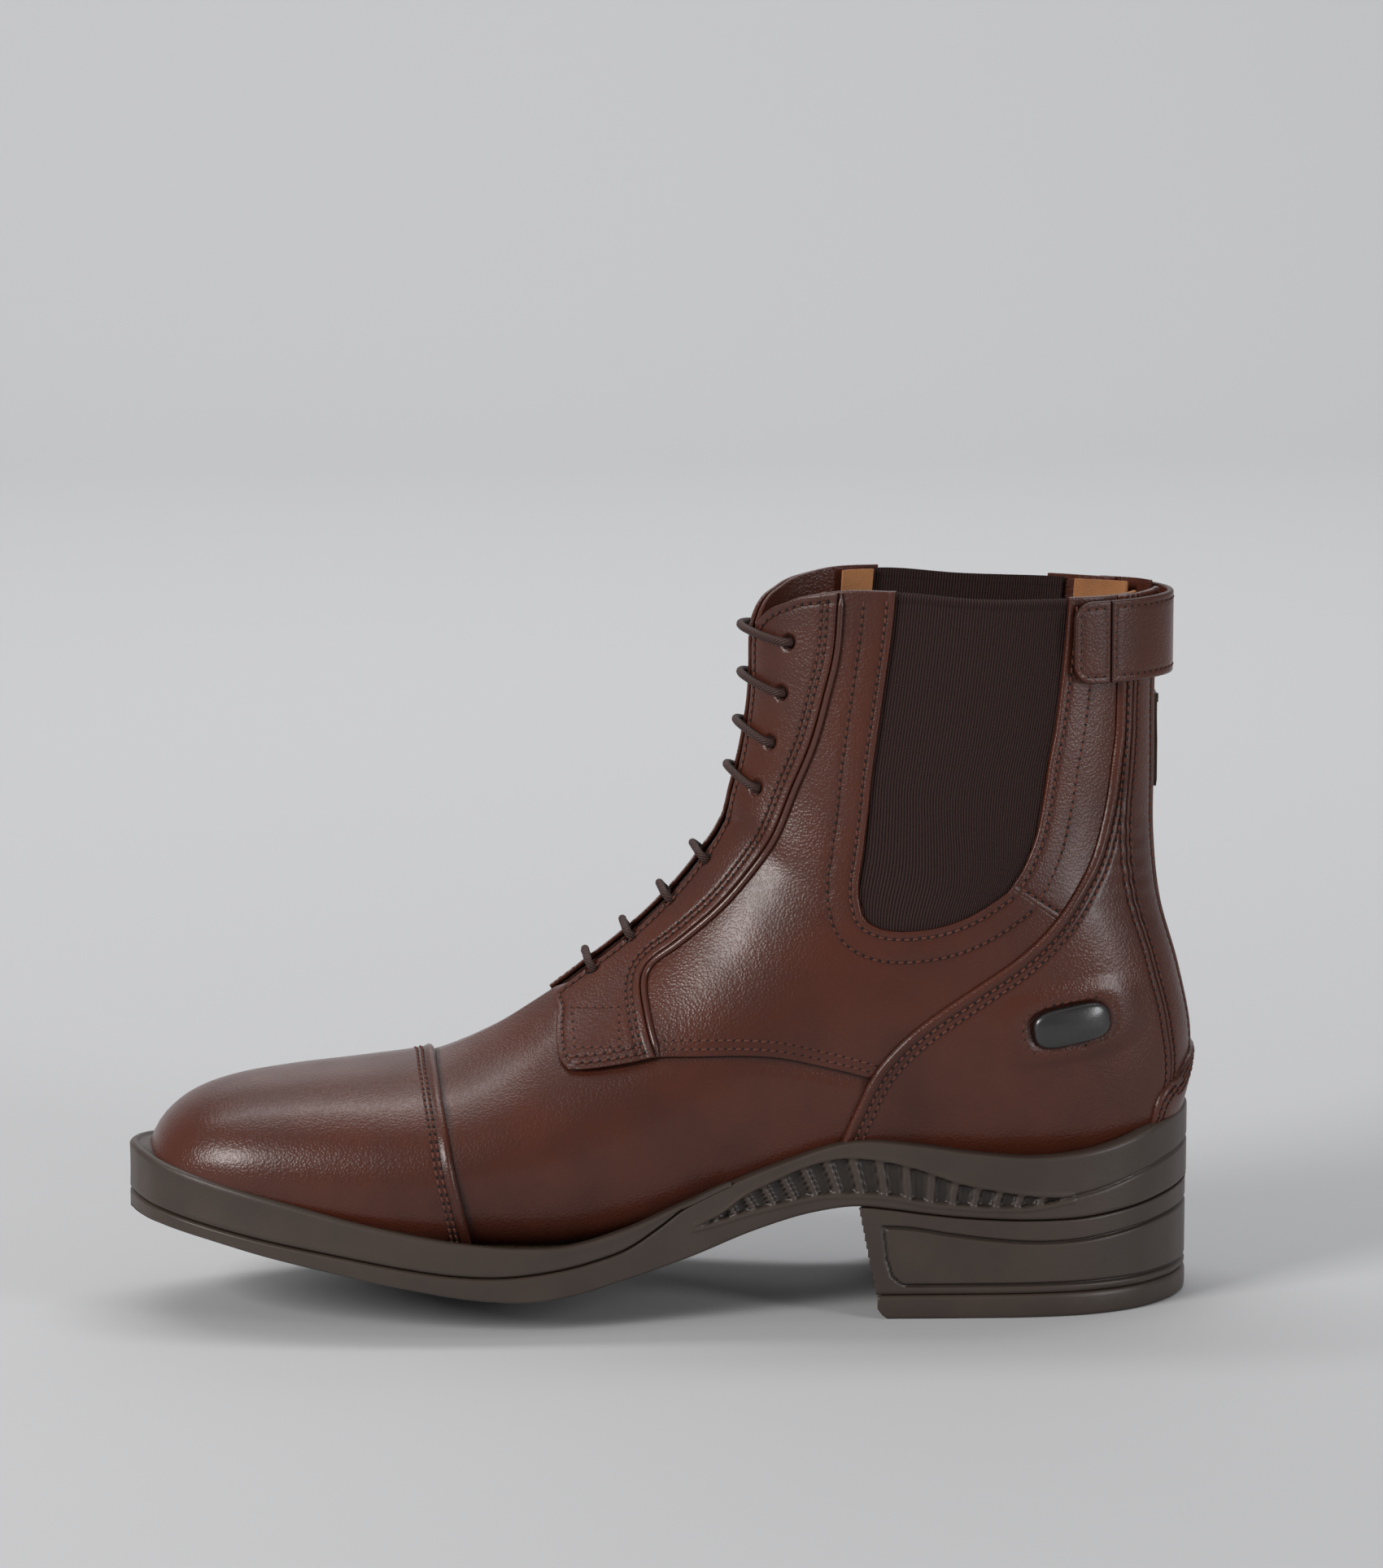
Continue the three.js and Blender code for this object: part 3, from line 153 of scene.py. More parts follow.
# ------------------------------------------------------------------ the last
@dataclass
class Last:
    """The surface that the upper is built over.

    Each station is a section's front point (x, z), its back or bottom point (x, z), its medial and lateral
    half widths, how square it is low down and at the front (1 is an ellipse), and how low its widest place
    is.
    """

    stations: Array = field(default_factory=lambda: np.array([
        (-140.6, 41.0, -140.6, 33.0, 8.0, 8.0, 0.50, 0.95, 1.10),
        (-139.2, 46.0, -139.2, 32.2, 14.0, 13.0, 0.50, 0.95, 1.15),
        (-135.2, 52.6, -135.2, 30.8, 20.0, 19.0, 0.48, 0.95, 1.20),
        (-127.5, 58.4, -127.5, 29.4, 26.0, 25.5, 0.45, 0.95, 1.25),
        (-116.0, 62.3, -116.0, 27.6, 31.5, 32.0, 0.42, 1.00, 1.30),
        (-100.0, 64.6, -100.0, 25.2, 36.0, 38.5, 0.42, 1.00, 1.30),
        (-80.0, 66.8, -80.0, 22.8, 40.0, 44.0, 0.42, 1.05, 1.30),
        (-62.0, 69.9, -61.0, 21.4, 42.0, 47.0, 0.42, 1.15, 1.30),
        (-46.0, 77.0, -44.0, 20.6, 42.2, 48.0, 0.42, 1.30, 1.35),
        (-31.5, 85.8, -27.0, 20.7, 41.0, 47.5, 0.42, 1.40, 1.40),
        (-18.5, 95.8, -6.0, 23.6, 38.5, 45.0, 0.42, 1.45, 1.40),
        (-6.5, 105.6, 19.0, 29.7, 36.0, 41.5, 0.42, 1.40, 1.35),
        (3.5, 115.6, 47.0, 36.0, 34.5, 38.0, 0.42, 1.30, 1.25),
        (11.0, 124.8, 76.0, 37.6, 34.0, 36.0, 0.42, 1.20, 1.15),
        (16.0, 131.4, 104.0, 36.6, 34.0, 35.0, 0.45, 1.10, 1.10),
        (18.6, 137.0, 126.0, 37.4, 33.5, 34.0, 0.52, 1.05, 1.05),
        (20.2, 142.4, 138.6, 45.0, 33.0, 33.0, 0.62, 1.00, 1.00),
        (21.6, 148.0, 144.3, 58.5, 32.5, 32.5, 0.68, 1.00, 1.00),
        (23.0, 154.0, 146.0, 73.5, 32.0, 32.0, 0.74, 1.00, 1.00),
        (24.2, 160.5, 142.6, 92.0, 31.5, 31.5, 0.80, 1.00, 1.00),
        (25.2, 167.5, 137.4, 111.0, 30.5, 30.5, 0.85, 1.00, 1.00),
        (25.6, 175.0, 135.5, 130.0, 29.5, 29.5, 0.90, 1.00, 1.00),
        (25.6, 183.0, 135.5, 149.0, 28.5, 28.5, 0.90, 1.00, 1.00),
        (25.6, 191.5, 135.5, 168.0, 27.5, 27.5, 0.90, 1.00, 1.00),
        (25.6, 200.5, 136.0, 187.0, 27.0, 27.0, 0.90, 1.00, 1.00),
        (25.8, 210.0, 137.0, 206.0, 27.0, 27.0, 0.90, 1.00, 1.00),
    ]))

    def __post_init__(self) -> None:
        """Lays the coarse net that locate starts from."""
        t, a = np.meshgrid(np.arange(0, 25.01, 0.2), np.linspace(0.03, math.pi - 0.03, 90), indexing="ij")
        self.net = np.stack([t.ravel(), a.ravel()], -1)
        self.net_points = self.point(self.net[:, 0], self.net[:, 1])

    def point(self, t: Array, angle: Array, depth: Array | float = 0.0) -> Array:
        """A point of the surface, or off it along the section's own normals.

        A section runs from its back point to its front point in shares ((1 - cos angle) / 2) ** skew, and is
        half width times sin(angle) ** power wide, the power going from its low value to its front value.

        Args:
            t: Section, counted in stations.
            angle: 0 at the back or sole, pi at the front, negative on the medial side; it may run past pi.
            depth: Distance outwards.

        Returns:
            Points, in millimetres, with one more axis than t.
        """
        t, angle, depth = np.broadcast_arrays(t, angle, depth)
        angle = (angle + math.pi) % (2 * math.pi) - math.pi
        fx, fz, bx, bz, medial, lateral, low, high, skew = np.moveaxis(through(self.stations, t), -1, 0)
        step = through(self.stations, t + PROBE) - through(self.stations, t - PROBE)
        front = step[..., 0:2] / np.linalg.norm(step[..., 0:2], axis=-1, keepdims=True)
        back = step[..., 2:4] / np.linalg.norm(step[..., 2:4], axis=-1, keepdims=True)
        share = (1 - np.cos(angle)) / 2
        power = low + (high - low) * share * share * (3 - 2 * share)
        soft = 0.13 * np.clip((power - 1) / 0.25, 0, 1)
        sine = np.abs(np.sin(angle))
        flat = soft**power
        shape = ((sine**2 + soft**2) ** (power / 2) - flat) / ((1 + soft**2) ** (power / 2) - flat)
        along = share**skew
        y = np.sign(angle) * (np.where(angle < 0, medial, lateral) + depth) * shape
        x0, z0 = bx + back[..., 1] * depth, bz - back[..., 0] * depth
        x1, z1 = fx - front[..., 1] * depth, fz + front[..., 0] * depth
        return np.stack([x0 + (x1 - x0) * along, y, z0 + (z1 - z0) * along], -1)

    def axes(self, t: Array, angle: Array, depth: Array | float = 0.0) -> tuple[Array, Array, Array]:
        """Unit vectors up the sections, round them towards rising angle, and outwards."""
        up = self.point(t + PROBE, angle, depth) - self.point(t - PROBE, angle, depth)
        turn = self.point(t, angle + PROBE, depth) - self.point(t, angle - PROBE, depth)
        out = np.cross(up, turn)
        outward = self.point(t, angle, 1.0) - self.point(t, angle, 0.0)
        out *= np.sign(np.sum(out * outward, -1, keepdims=True))
        return tuple(v / np.linalg.norm(v, axis=-1, keepdims=True) for v in (up, turn, out))

    def locate(self, line: Array, side: Side) -> Array:
        """Finds where the side view shows points of x, z, by Newton's method from the net's nearest node.

        Args:
            line: Points of x, z.
            side: The side that they are on.

        Returns:
            Rows of section and angle.
        """
        line = np.asarray(line, float)
        gaps = np.linalg.norm(line[:, None] - self.net_points[None][..., [0, 2]], axis=-1)
        t, a = self.net[np.argmin(gaps, 1)].T
        e = 1e-3
        for _ in range(NEWTON_STEPS):
            here = self.point(t, a)[:, [0, 2]]
            dt = (self.point(t + e, a)[:, [0, 2]] - here) / e
            da = (self.point(t, a + e)[:, [0, 2]] - here) / e
            miss = line - here
            det = dt[:, 0] * da[:, 1] - dt[:, 1] * da[:, 0]
            det = np.where(np.abs(det) < 1e-6, 1e-6, det)
            step_t = (miss[:, 0] * da[:, 1] - miss[:, 1] * da[:, 0]) / det
            step_a = (dt[:, 0] * miss[:, 1] - dt[:, 1] * miss[:, 0]) / det
            t = np.clip(t + np.clip(step_t, -0.4, 0.4), 0, 25)
            a = np.clip(a + np.clip(step_a, -0.15, 0.15), 0.02, math.pi - 0.02)
        return np.stack([t, side.value * a], -1)

    def seam(self, line: Line, side: Side, per_span: int = 6) -> Array:
        """A smooth seam through points of x, z, as rows of section and angle."""
        return self.locate(dense(line, per_span), side)

    def beside_middle(self, t: Array, half: Array | float, side: Side, front: bool = True) -> Array:
        """The line a half width off the middle of the front or the back, as rows of section and angle."""
        t = np.asarray(t, float)
        trial = np.linspace(0.0, 1.5, 700)
        angles = (math.pi - trial if front else trial)[None] * side.value
        widths = np.abs(self.point(t[:, None], np.repeat(angles, len(t), 0))[..., 1])
        half = np.broadcast_to(half, t.shape)
        reach = np.array([np.interp(h, w, trial) for h, w in zip(half, widths)])
        return np.stack([t, side.value * (math.pi - reach if front else reach)], -1)


LAST = Last()


# ------------------------------------------------------------------ meshes
def place(points: Array) -> Array:
    """Moves points from the last's frame in millimetres to the row frame in metres."""
    return (np.asarray(points, float) - CENTRE) * MM


def new_mesh(name: str, points: Array, faces: Array) -> bpy.types.Object:
    """Makes a smooth-shaded object from points in the last's frame and quads or triangles.

    Args:
        name: The piece's name.
        points: Rows of x, y, z in millimetres.
        faces: Rows of indices, of three or four.

    Returns:
        The new object, at the origin.
    """
    faces = np.asarray(faces, np.int32)
    mesh = bpy.data.meshes.new(name)
    mesh.vertices.add(len(points))
    mesh.vertices.foreach_set("co", place(points).astype(np.float32).ravel())
    count, sides = faces.shape
    mesh.loops.add(count * sides)
    mesh.loops.foreach_set("vertex_index", faces.ravel())
    mesh.polygons.add(count)
    mesh.polygons.foreach_set("loop_start", np.arange(count, dtype=np.int32) * sides)
    mesh.polygons.foreach_set("loop_total", np.full(count, sides, np.int32))
    mesh.polygons.foreach_set("use_smooth", np.full(count, True))
    mesh.update(calc_edges=True)
    mesh.validate()
    made = bpy.data.objects.new(name, mesh)
    bpy.context.scene.collection.objects.link(made)
    return made


def net_faces(rows: int, columns: int, around: bool = False) -> Array:
    """Quads of a net of rows by columns, numbered row by row; around closes each row on itself."""
    wrap = columns if around else columns - 1
    i, j = np.meshgrid(np.arange(rows - 1), np.arange(wrap), indexing="ij")
    k = (j + 1) % columns
    here, above = i * columns, (i + 1) * columns
    return np.stack([here + j, here + k, above + k, above + j], -1).reshape(-1, 4)


def closed_sheet(outer: Array, inner: Array) -> tuple[Array, Array]:
    """Joins an outer and an inner net of the same shape into one closed sheet.

    Args:
        outer: The net on the side that faces out, rows by columns by 3.
        inner: The net under it.

    Returns:
        Points and quads, facing outwards.
    """
    rows, columns = outer.shape[:2]
    count = rows * columns
    faces = net_faces(rows, columns)
    index = np.arange(count).reshape(rows, columns)
    rim = np.concatenate([index[0, :-1], index[:-1, -1], index[-1, :0:-1], index[:0:-1, 0]])
    after = np.roll(rim, -1)
    wall = np.stack([rim, rim + count, after + count, after], -1)
    points = np.concatenate([outer.reshape(-1, 3), inner.reshape(-1, 3)])
    every = np.concatenate([faces, faces[:, ::-1] + count, wall])
    i, j = rows // 2, columns // 2
    normal = np.cross(outer[i, j] - outer[i, j - 1], outer[i, j] - outer[i - 1, j])
    if np.dot(normal, outer[i, j] - inner[i, j]) < 0:
        every = every[:, ::-1]
    return points, every


def ring_body(rings: Array) -> tuple[Array, Array]:
    """A closed body through rings of points, shut at both ends by a point at each end ring's middle.

    Args:
        rings: Rings by points by 3, each ring in the same turning sense.

    Returns:
        Points and quads, the end fans being quads with a doubled middle.
    """
    rows, columns = rings.shape[:2]
    middles = rings[[0, -1]].mean(1)
    points = np.concatenate([rings.reshape(-1, 3), middles])
    j = np.arange(columns)
    k = (j + 1) % columns
    start, end = rows * columns, rows * columns + 1
    last = (rows - 1) * columns
    sides = net_faces(rows, columns, around=True)
    sides = np.concatenate([sides[:, [0, 1, 2]], sides[:, [0, 2, 3]]])
    caps = np.concatenate([
        np.stack([k, j, np.full(columns, start)], -1),
        np.stack([last + j, last + k, np.full(columns, end)], -1),
    ])
    every = np.concatenate([sides, caps])
    a, b, c = (points[every[:, n]] for n in range(3))
    if np.sum(np.cross(a, b) * c) < 0:
        every = every[:, ::-1]
    return points, every


def sweep(path: Array, radius: Array | float, sides: int) -> Array:
    """Rings of a round section carried along a path, turned from ring to ring without twist.

    Args:
        path: Points of the path.
        radius: One radius, or one for each point.
        sides: Points in a ring.

    Returns:
        Rings by points by 3.
    """
    tangents = np.gradient(path, axis=0)
    tangents /= np.linalg.norm(tangents, axis=1, keepdims=True)
    normal = np.cross(tangents[0], [0.3, 0.2, 0.9])
    normals = []
    for tangent in tangents:
        normal = normal - tangent * np.dot(normal, tangent)
        normal = normal / np.linalg.norm(normal)
        normals.append(normal)
    normals = np.array(normals)
    across = np.cross(tangents, normals)
    angle = np.arange(sides) * 2 * math.pi / sides
    radius = np.broadcast_to(radius, (len(path),))[:, None, None]
    wave = normals[:, None] * np.cos(angle)[None, :, None]
    wave = wave + across[:, None] * np.sin(angle)[None, :, None]
    return path[:, None] + wave * radius


def paint(piece: bpy.types.Object, name: str, values: Array) -> None:
    """Stores a number for each vertex as an attribute that a material can read."""
    attribute = piece.data.attributes.new(name, "FLOAT", "POINT")
    attribute.data.foreach_set("value", np.asarray(values, np.float32).ravel())


def lay_uv(piece: bpy.types.Object, uv: Array) -> None:
    """Gives a piece a UV map from one pair of numbers for each vertex."""
    layer = piece.data.uv_layers.new(name="UVMap")
    corners = np.empty(len(piece.data.loops), np.int32)
    piece.data.loops.foreach_get("vertex_index", corners)
    layer.data.foreach_set("uv", np.asarray(uv, np.float32)[corners].ravel())


def settle(
    piece: bpy.types.Object,
    material: bpy.types.Material,
    body: str = "root",
    stands_for: Sequence[str] = (),
) -> bpy.types.Object:
    """Dresses a piece, says which body it rides on, and hides the CAD nodes that it stands for."""
    piece.data.materials.append(material)
    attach(piece, body)
    if stands_for:
        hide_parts(*stands_for)
    log.info("%s rides on %s", piece.name, body)
    return piece


# ------------------------------------------------------------------ finishes
class Nodes:
    """A small hand for building node trees: makes nodes, and links sockets by name."""

    def __init__(self, tree: bpy.types.NodeTree) -> None:
        """Keeps the tree and empties it."""
        self.tree = tree
        tree.nodes.clear()

    def add(self, kind: str, **values: object) -> bpy.types.Node:
        """Adds a node.

        Args:
            kind: The node's type, without ShaderNode in front.
            **values: Its properties, or its inputs' values under their names with _ for a space.

        Returns:
            The new node.
        """
        node = self.tree.nodes.new(kind if kind.startswith("Node") else "ShaderNode" + kind)
        for key, value in values.items():
            if hasattr(node, key):
                setattr(node, key, value)
            else:
                node.inputs[key.replace("_", " ")].default_value = value
        return node

    def link(self, source: bpy.types.NodeSocket, target: bpy.types.NodeSocket) -> None:
        """Joins an output to an input."""
        self.tree.links.new(source, target)

    def math(self, operation: str, a: object, b: object = 0.0) -> bpy.types.NodeSocket:
        """A maths node between two sockets or numbers; returns its output."""
        node = self.add("Math", operation=operation)
        for socket, value in zip(node.inputs, (a, b)):
            if isinstance(value, bpy.types.NodeSocket):
                self.link(value, socket)
            else:
                socket.default_value = value
        return node.outputs[0]

    def ramp(
        self, value: bpy.types.NodeSocket, low: float, high: float, to_low: float = 0.0, to_high: float = 1.0,
    ) -> bpy.types.NodeSocket:
        """Maps a range to another one, held at its ends; returns the result socket."""
        node = self.add("MapRange", From_Min=low, From_Max=high, To_Min=to_low, To_Max=to_high)
        node.interpolation_type = "SMOOTHSTEP"
        self.link(value, node.inputs["Value"])
        return node.outputs["Result"]

    def noise(
        self, vector: bpy.types.NodeSocket, scale: float, detail: float = 2.0, rough: float = 0.5,
    ) -> bpy.types.NodeSocket:
        """A noise texture; returns its value socket."""
        node = self.add("TexNoise", Scale=scale, Detail=detail, Roughness=rough)
        self.link(vector, node.inputs["Vector"])
        return node.outputs["Fac"]


def group(name: str, sockets: Sequence[tuple[str, str, str]]) -> tuple[bpy.types.NodeTree, Nodes]:
    """Makes an empty shader group.

    Args:
        name: The group's name.
        sockets: For each socket its name, INPUT or OUTPUT, and its socket type.

    Returns:
        The group and a hand for building in it.
    """
    tree = bpy.data.node_groups.new(name, "ShaderNodeTree")
    for label, way, kind in sockets:
        tree.interface.new_socket(name=label, in_out=way, socket_type=kind)
    return tree, Nodes(tree)


NUMBER = "NodeSocketFloat"
TRIPLE = "NodeSocketVector"


def grain_group() -> bpy.types.NodeTree:
    """Leather grain: the height is a fine cell pattern, broken by a noise, with soft creases under it."""
    tree, n = group("leather grain", [
        ("Vector", "INPUT", TRIPLE), ("Cells", "INPUT", NUMBER), ("Height", "OUTPUT", NUMBER),
        ("Mottle", "OUTPUT", NUMBER),
    ])
    enter, leave = n.add("NodeGroupInput"), n.add("NodeGroupOutput")
    warp = n.add("TexNoise", Scale=420.0, Detail=2.0)
    n.link(enter.outputs["Vector"], warp.inputs["Vector"])
    bent = n.add("VectorMath", operation="MULTIPLY_ADD")
    n.link(warp.outputs["Color"], bent.inputs[0])
    bent.inputs[1].default_value = (0.0009, 0.0009, 0.0009)
    n.link(enter.outputs["Vector"], bent.inputs[2])
    cells = n.add("TexVoronoi", feature="F1")
    n.link(bent.outputs[0], cells.inputs["Vector"])
    n.link(enter.outputs["Cells"], cells.inputs["Scale"])
    fine = n.noise(enter.outputs["Vector"], 2300.0, 2.0)
    broad = n.noise(enter.outputs["Vector"], 90.0, 3.0)
    pebble = n.ramp(cells.outputs["Distance"], 0.15, 0.75, 1.0, 0.0)
    height = n.math("MULTIPLY_ADD", fine, 0.35)
    n.link(pebble, height.node.inputs[2])
    swell = n.math("MULTIPLY_ADD", broad, 0.2)
    n.link(height, swell.node.inputs[2])
    n.link(swell, leave.inputs["Height"])
    slow = n.noise(enter.outputs["Vector"], 28.0, 4.0, 0.6)
    n.link(slow, leave.inputs["Mottle"])
    return tree


def weave_group() -> bpy.types.NodeTree:
    """A rib and thread weave over a flat pattern in millimetres: two sine waves crossed, as a height."""
    tree, n = group("ribbed weave", [
        ("UV", "INPUT", TRIPLE), ("Rib pitch", "INPUT", NUMBER), ("Thread pitch", "INPUT", NUMBER),
        ("Height", "OUTPUT", NUMBER),
    ])
    enter, leave = n.add("NodeGroupInput"), n.add("NodeGroupOutput")
    parts = n.add("SeparateXYZ")
    n.link(enter.outputs["UV"], parts.inputs[0])
    waves = []
    for axis, pitch in ((0, "Rib pitch"), (1, "Thread pitch")):
        turns = n.math("DIVIDE", parts.outputs[axis], enter.outputs[pitch])
        wave = n.math("SINE", n.math("MULTIPLY", turns, 2 * math.pi))
        waves.append(n.math("MULTIPLY_ADD", wave, 0.5))
        waves[-1].node.inputs[2].default_value = 0.5
    rib = n.math("POWER", waves[0], 0.6)
    height = n.math("MULTIPLY_ADD", waves[1], 0.25)
    n.link(rib, height.node.inputs[2])
    n.link(height, leave.inputs["Height"])
    return tree


@dataclass(frozen=True)
class Finish:
    """A plain finish: a colour that drifts a little, one roughness, and a fine noise in relief."""

    name: str
    colour: tuple[float, float, float]
    drift: tuple[float, float, float]
    roughness: float
    metallic: float = 0.0
    coat: float = 0.0
    specular: float = 0.4
    coat_roughness: float = 0.22
    grain: float = 900.0
    relief: float = 0.1
    drift_scale: float = 60.0
    painted_shade_depth: float = 0.75

    def base(self) -> tuple[bpy.types.Material, Nodes, bpy.types.Node, bpy.types.NodeSocket]:
        """Starts a material: its tree, its shader, and the object's own coordinates."""
        material = bpy.data.materials.new(self.name)
        material.use_nodes = True
        n = Nodes(material.node_tree)
        shader = n.add("BsdfPrincipled")
        shader.inputs["Roughness"].default_value = self.roughness
        shader.inputs["Metallic"].default_value = self.metallic
        shader.inputs["Coat Weight"].default_value = self.coat
        shader.inputs["Coat Roughness"].default_value = self.coat_roughness
        shader.inputs["Specular IOR Level"].default_value = self.specular
        output = n.add("OutputMaterial")
        n.link(shader.outputs[0], output.inputs["Surface"])
        material.diffuse_color = (*self.colour, 1.0)
        return material, n, shader, n.add("TexCoord").outputs["Object"]

    def tint(self, n: Nodes, shader: bpy.types.Node, share: bpy.types.NodeSocket) -> bpy.types.NodeSocket:
        """Mixes colour and drift by a share from 0 to 1 into the base colour, with painted shade where the
        seam attribute rises to 1.

        Args:
            n: The hand for the material's tree.
            shader: Its shader.
            share: How much of the drift colour there is.

        Returns:
            The seam attribute's socket, which carries the painted shade.
        """
        mix, painted_shade = (n.add("Mix", data_type="RGBA") for _ in range(2))
        mix.inputs["A"].default_value = (*self.colour, 1.0)
        mix.inputs["B"].default_value = (*self.drift, 1.0)
        n.link(share, mix.inputs["Factor"])
        # The attribute named seam holds painted shade from 0 to 1; where it rises, the colour is mixed
        # towards a near black made from the drift colour.
        seam = n.add("Attribute", attribute_name="seam").outputs["Fac"]
        n.link(mix.outputs["Result"], painted_shade.inputs["A"])
        painted_shade.inputs["B"].default_value = (*(0.12 * part for part in self.drift), 1.0)
        n.link(n.math("MULTIPLY", seam, self.painted_shade_depth), painted_shade.inputs["Factor"])
        n.link(painted_shade.outputs["Result"], shader.inputs["Base Color"])
        return seam

    def emboss(self, n: Nodes, shader: bpy.types.Node, height: bpy.types.NodeSocket, strength: float) -> None:
        """Turns a height into the shader's normal; a height of 1 stands 0.1 mm proud at strength 1."""
        bump = n.add("Bump", Strength=1.0, Distance=0.1 * MM * strength)
        n.link(height, bump.inputs["Height"])
        n.link(bump.outputs[0], shader.inputs["Normal"])

    def make(self) -> bpy.types.Material:
        """Makes the material."""
        material, n, shader, where = self.base()
        self.tint(n, shader, n.ramp(n.noise(where, self.drift_scale, 4.0), 0.3, 0.7))
        self.emboss(n, shader, n.noise(where, self.grain, 3.0), self.relief * 10)
        return material


@dataclass(frozen=True)
class LeatherFinish(Finish):
    """Waxed calf leather: pebbled grain, painted shade in its grooves, holes and tucked edges, a soft wax
    coat.
    """

    cells: float = 1250.0

    def make(self) -> bpy.types.Material:
        """Makes the material; the attribute named seam holds painted shade, which darkens and dulls it from 0
        to 1.
        """
        material, n, shader, where = self.base()
        grain = n.add("Group", node_tree=bpy.data.node_groups["leather grain"])
        n.link(where, grain.inputs["Vector"])
        grain.inputs["Cells"].default_value = self.cells
        seam = self.tint(n, shader, n.ramp(grain.outputs["Mottle"], 0.35, 0.68))
        rough = n.ramp(grain.outputs["Mottle"], 0.3, 0.7, self.roughness - 0.04, self.roughness + 0.06)
        n.link(n.math("ADD", rough, n.math("MULTIPLY", seam, 0.25)), shader.inputs["Roughness"])
        self.emboss(n, shader, grain.outputs["Height"], self.relief)
        return material


@dataclass(frozen=True)
class WovenFinish(Finish):
    """A woven or braided finish that reads its pattern from a UV map in millimetres."""

    rib: float = 0.7
    thread: float = 0.5
    depth: float = 4.5

    def make(self) -> bpy.types.Material:
        """Makes the material; the ribs take the drift colour and the valleys between them the darker base
        colour, which is painted shade.
        """
        material, n, shader, _ = self.base()
        flat = n.add("UVMap", uv_map="UVMap").outputs["UV"]
        weave = n.add("Group", node_tree=bpy.data.node_groups["ribbed weave"])
        n.link(flat, weave.inputs["UV"])
        weave.inputs["Rib pitch"].default_value = self.rib
        weave.inputs["Thread pitch"].default_value = self.thread
        # painted shade: the colour follows the weave's height, darkest in the valleys
        self.tint(n, shader, n.ramp(weave.outputs["Height"], 0.2, 0.9))
        self.emboss(n, shader, weave.outputs["Height"], self.depth)
        return material


class Look(Enum):
    """Every finish on the boot."""

    LEATHER = LeatherFinish("red brown leather", (0.072, 0.0185, 0.0098), (0.050, 0.0125, 0.0070), 0.32,
                            coat=0.16, specular=0.33, relief=0.5)
    BEAD = LeatherFinish("rolled leather edge", (0.070, 0.020, 0.012), (0.050, 0.014, 0.009), 0.26, coat=0.6,
                         specular=0.3, relief=0.35)
    THREAD = Finish("waxed thread", (0.125, 0.046, 0.032), (0.080, 0.027, 0.018), 0.6, specular=0.15,
                    grain=3000.0, relief=0.08)
    # painted shade: near-black bodies that stand for the shade in each needle hole
    NEEDLE = Finish("needle hole shade", (0.008, 0.004, 0.003), (0.006, 0.003, 0.003), 0.8)
    # In the woven finishes (ELASTIC, LACE, TAPE) the first colour is painted shade for the valleys, and the
    # second is the yarn's own colour.
    ELASTIC = WovenFinish("ribbed elastic", (0.009, 0.0046, 0.0042), (0.043, 0.0220, 0.0195), 0.85,
                          specular=0.2, rib=0.8, thread=0.45)
    LACE = WovenFinish("braided lace", (0.016, 0.007, 0.005), (0.060, 0.026, 0.020), 0.6, rib=0.95,
                       thread=0.8, depth=2.6)
    RUBBER = Finish("sole rubber", (0.040, 0.0270, 0.0205), (0.050, 0.034, 0.026), 0.42, specular=0.45,
                    grain=1400.0, relief=0.05)
    SPUR = Finish("spur rest rubber", (0.012, 0.0105, 0.011), (0.018, 0.016, 0.017), 0.3, coat=0.3,
                  specular=0.6, grain=1500.0, relief=0.03)
    LINING = Finish("tan suede lining", (0.36, 0.155, 0.060), (0.27, 0.110, 0.042), 0.9, grain=2200.0,
                    relief=0.2)
    FOOTBED = Finish("footbed", (0.25, 0.115, 0.050), (0.19, 0.085, 0.036), 0.8, grain=1800.0, relief=0.1)
    BRONZE = Finish("dark bronze", (0.075, 0.050, 0.034), (0.050, 0.034, 0.024), 0.4, metallic=1.0,
                    grain=700.0, relief=0.02)
    BRASS = Finish("aged brass", (0.52, 0.34, 0.13), (0.40, 0.25, 0.09), 0.33, metallic=1.0, grain=700.0,
                   relief=0.02)
    TAPE = WovenFinish("zip tape", (0.012, 0.006, 0.005), (0.045, 0.020, 0.015), 0.8, rib=0.9, thread=0.5,
                       depth=1.5)
    TEETH = Finish("zip teeth", (0.045, 0.020, 0.015), (0.035, 0.015, 0.011), 0.4, grain=1200.0, relief=0.02)
    BOARD = Finish("insole board", (0.35, 0.24, 0.15), (0.28, 0.19, 0.12), 0.85, relief=0.1)
    CORK = Finish("cork", (0.42, 0.26, 0.14), (0.20, 0.11, 0.06), 0.9, grain=500.0, relief=0.3,
                  drift_scale=400.0)
    STEEL = Finish("shank steel", (0.45, 0.45, 0.46), (0.38, 0.38, 0.40), 0.35, metallic=1.0, relief=0.01)
    STIFFENER = Finish("stiffener", (0.62, 0.58, 0.50), (0.55, 0.50, 0.43), 0.85, relief=0.1)
    FLOOR = Finish("studio floor", (0.48, 0.482, 0.49), (0.48, 0.482, 0.49), 0.8, specular=0.1, relief=0.0)


@dataclass
class Wardrobe:
    """Makes each finish once, and hands it out."""

    made: dict[Look, bpy.types.Material] = field(default_factory=dict)

    def __post_init__(self) -> None:
        """Makes the shared groups."""
        grain_group()
        weave_group()

    def __getitem__(self, look: Look) -> bpy.types.Material:
        """The material of a finish."""
        if look not in self.made:
            self.made[look] = look.value.make()
        return self.made[look]


WARDROBE = Wardrobe()


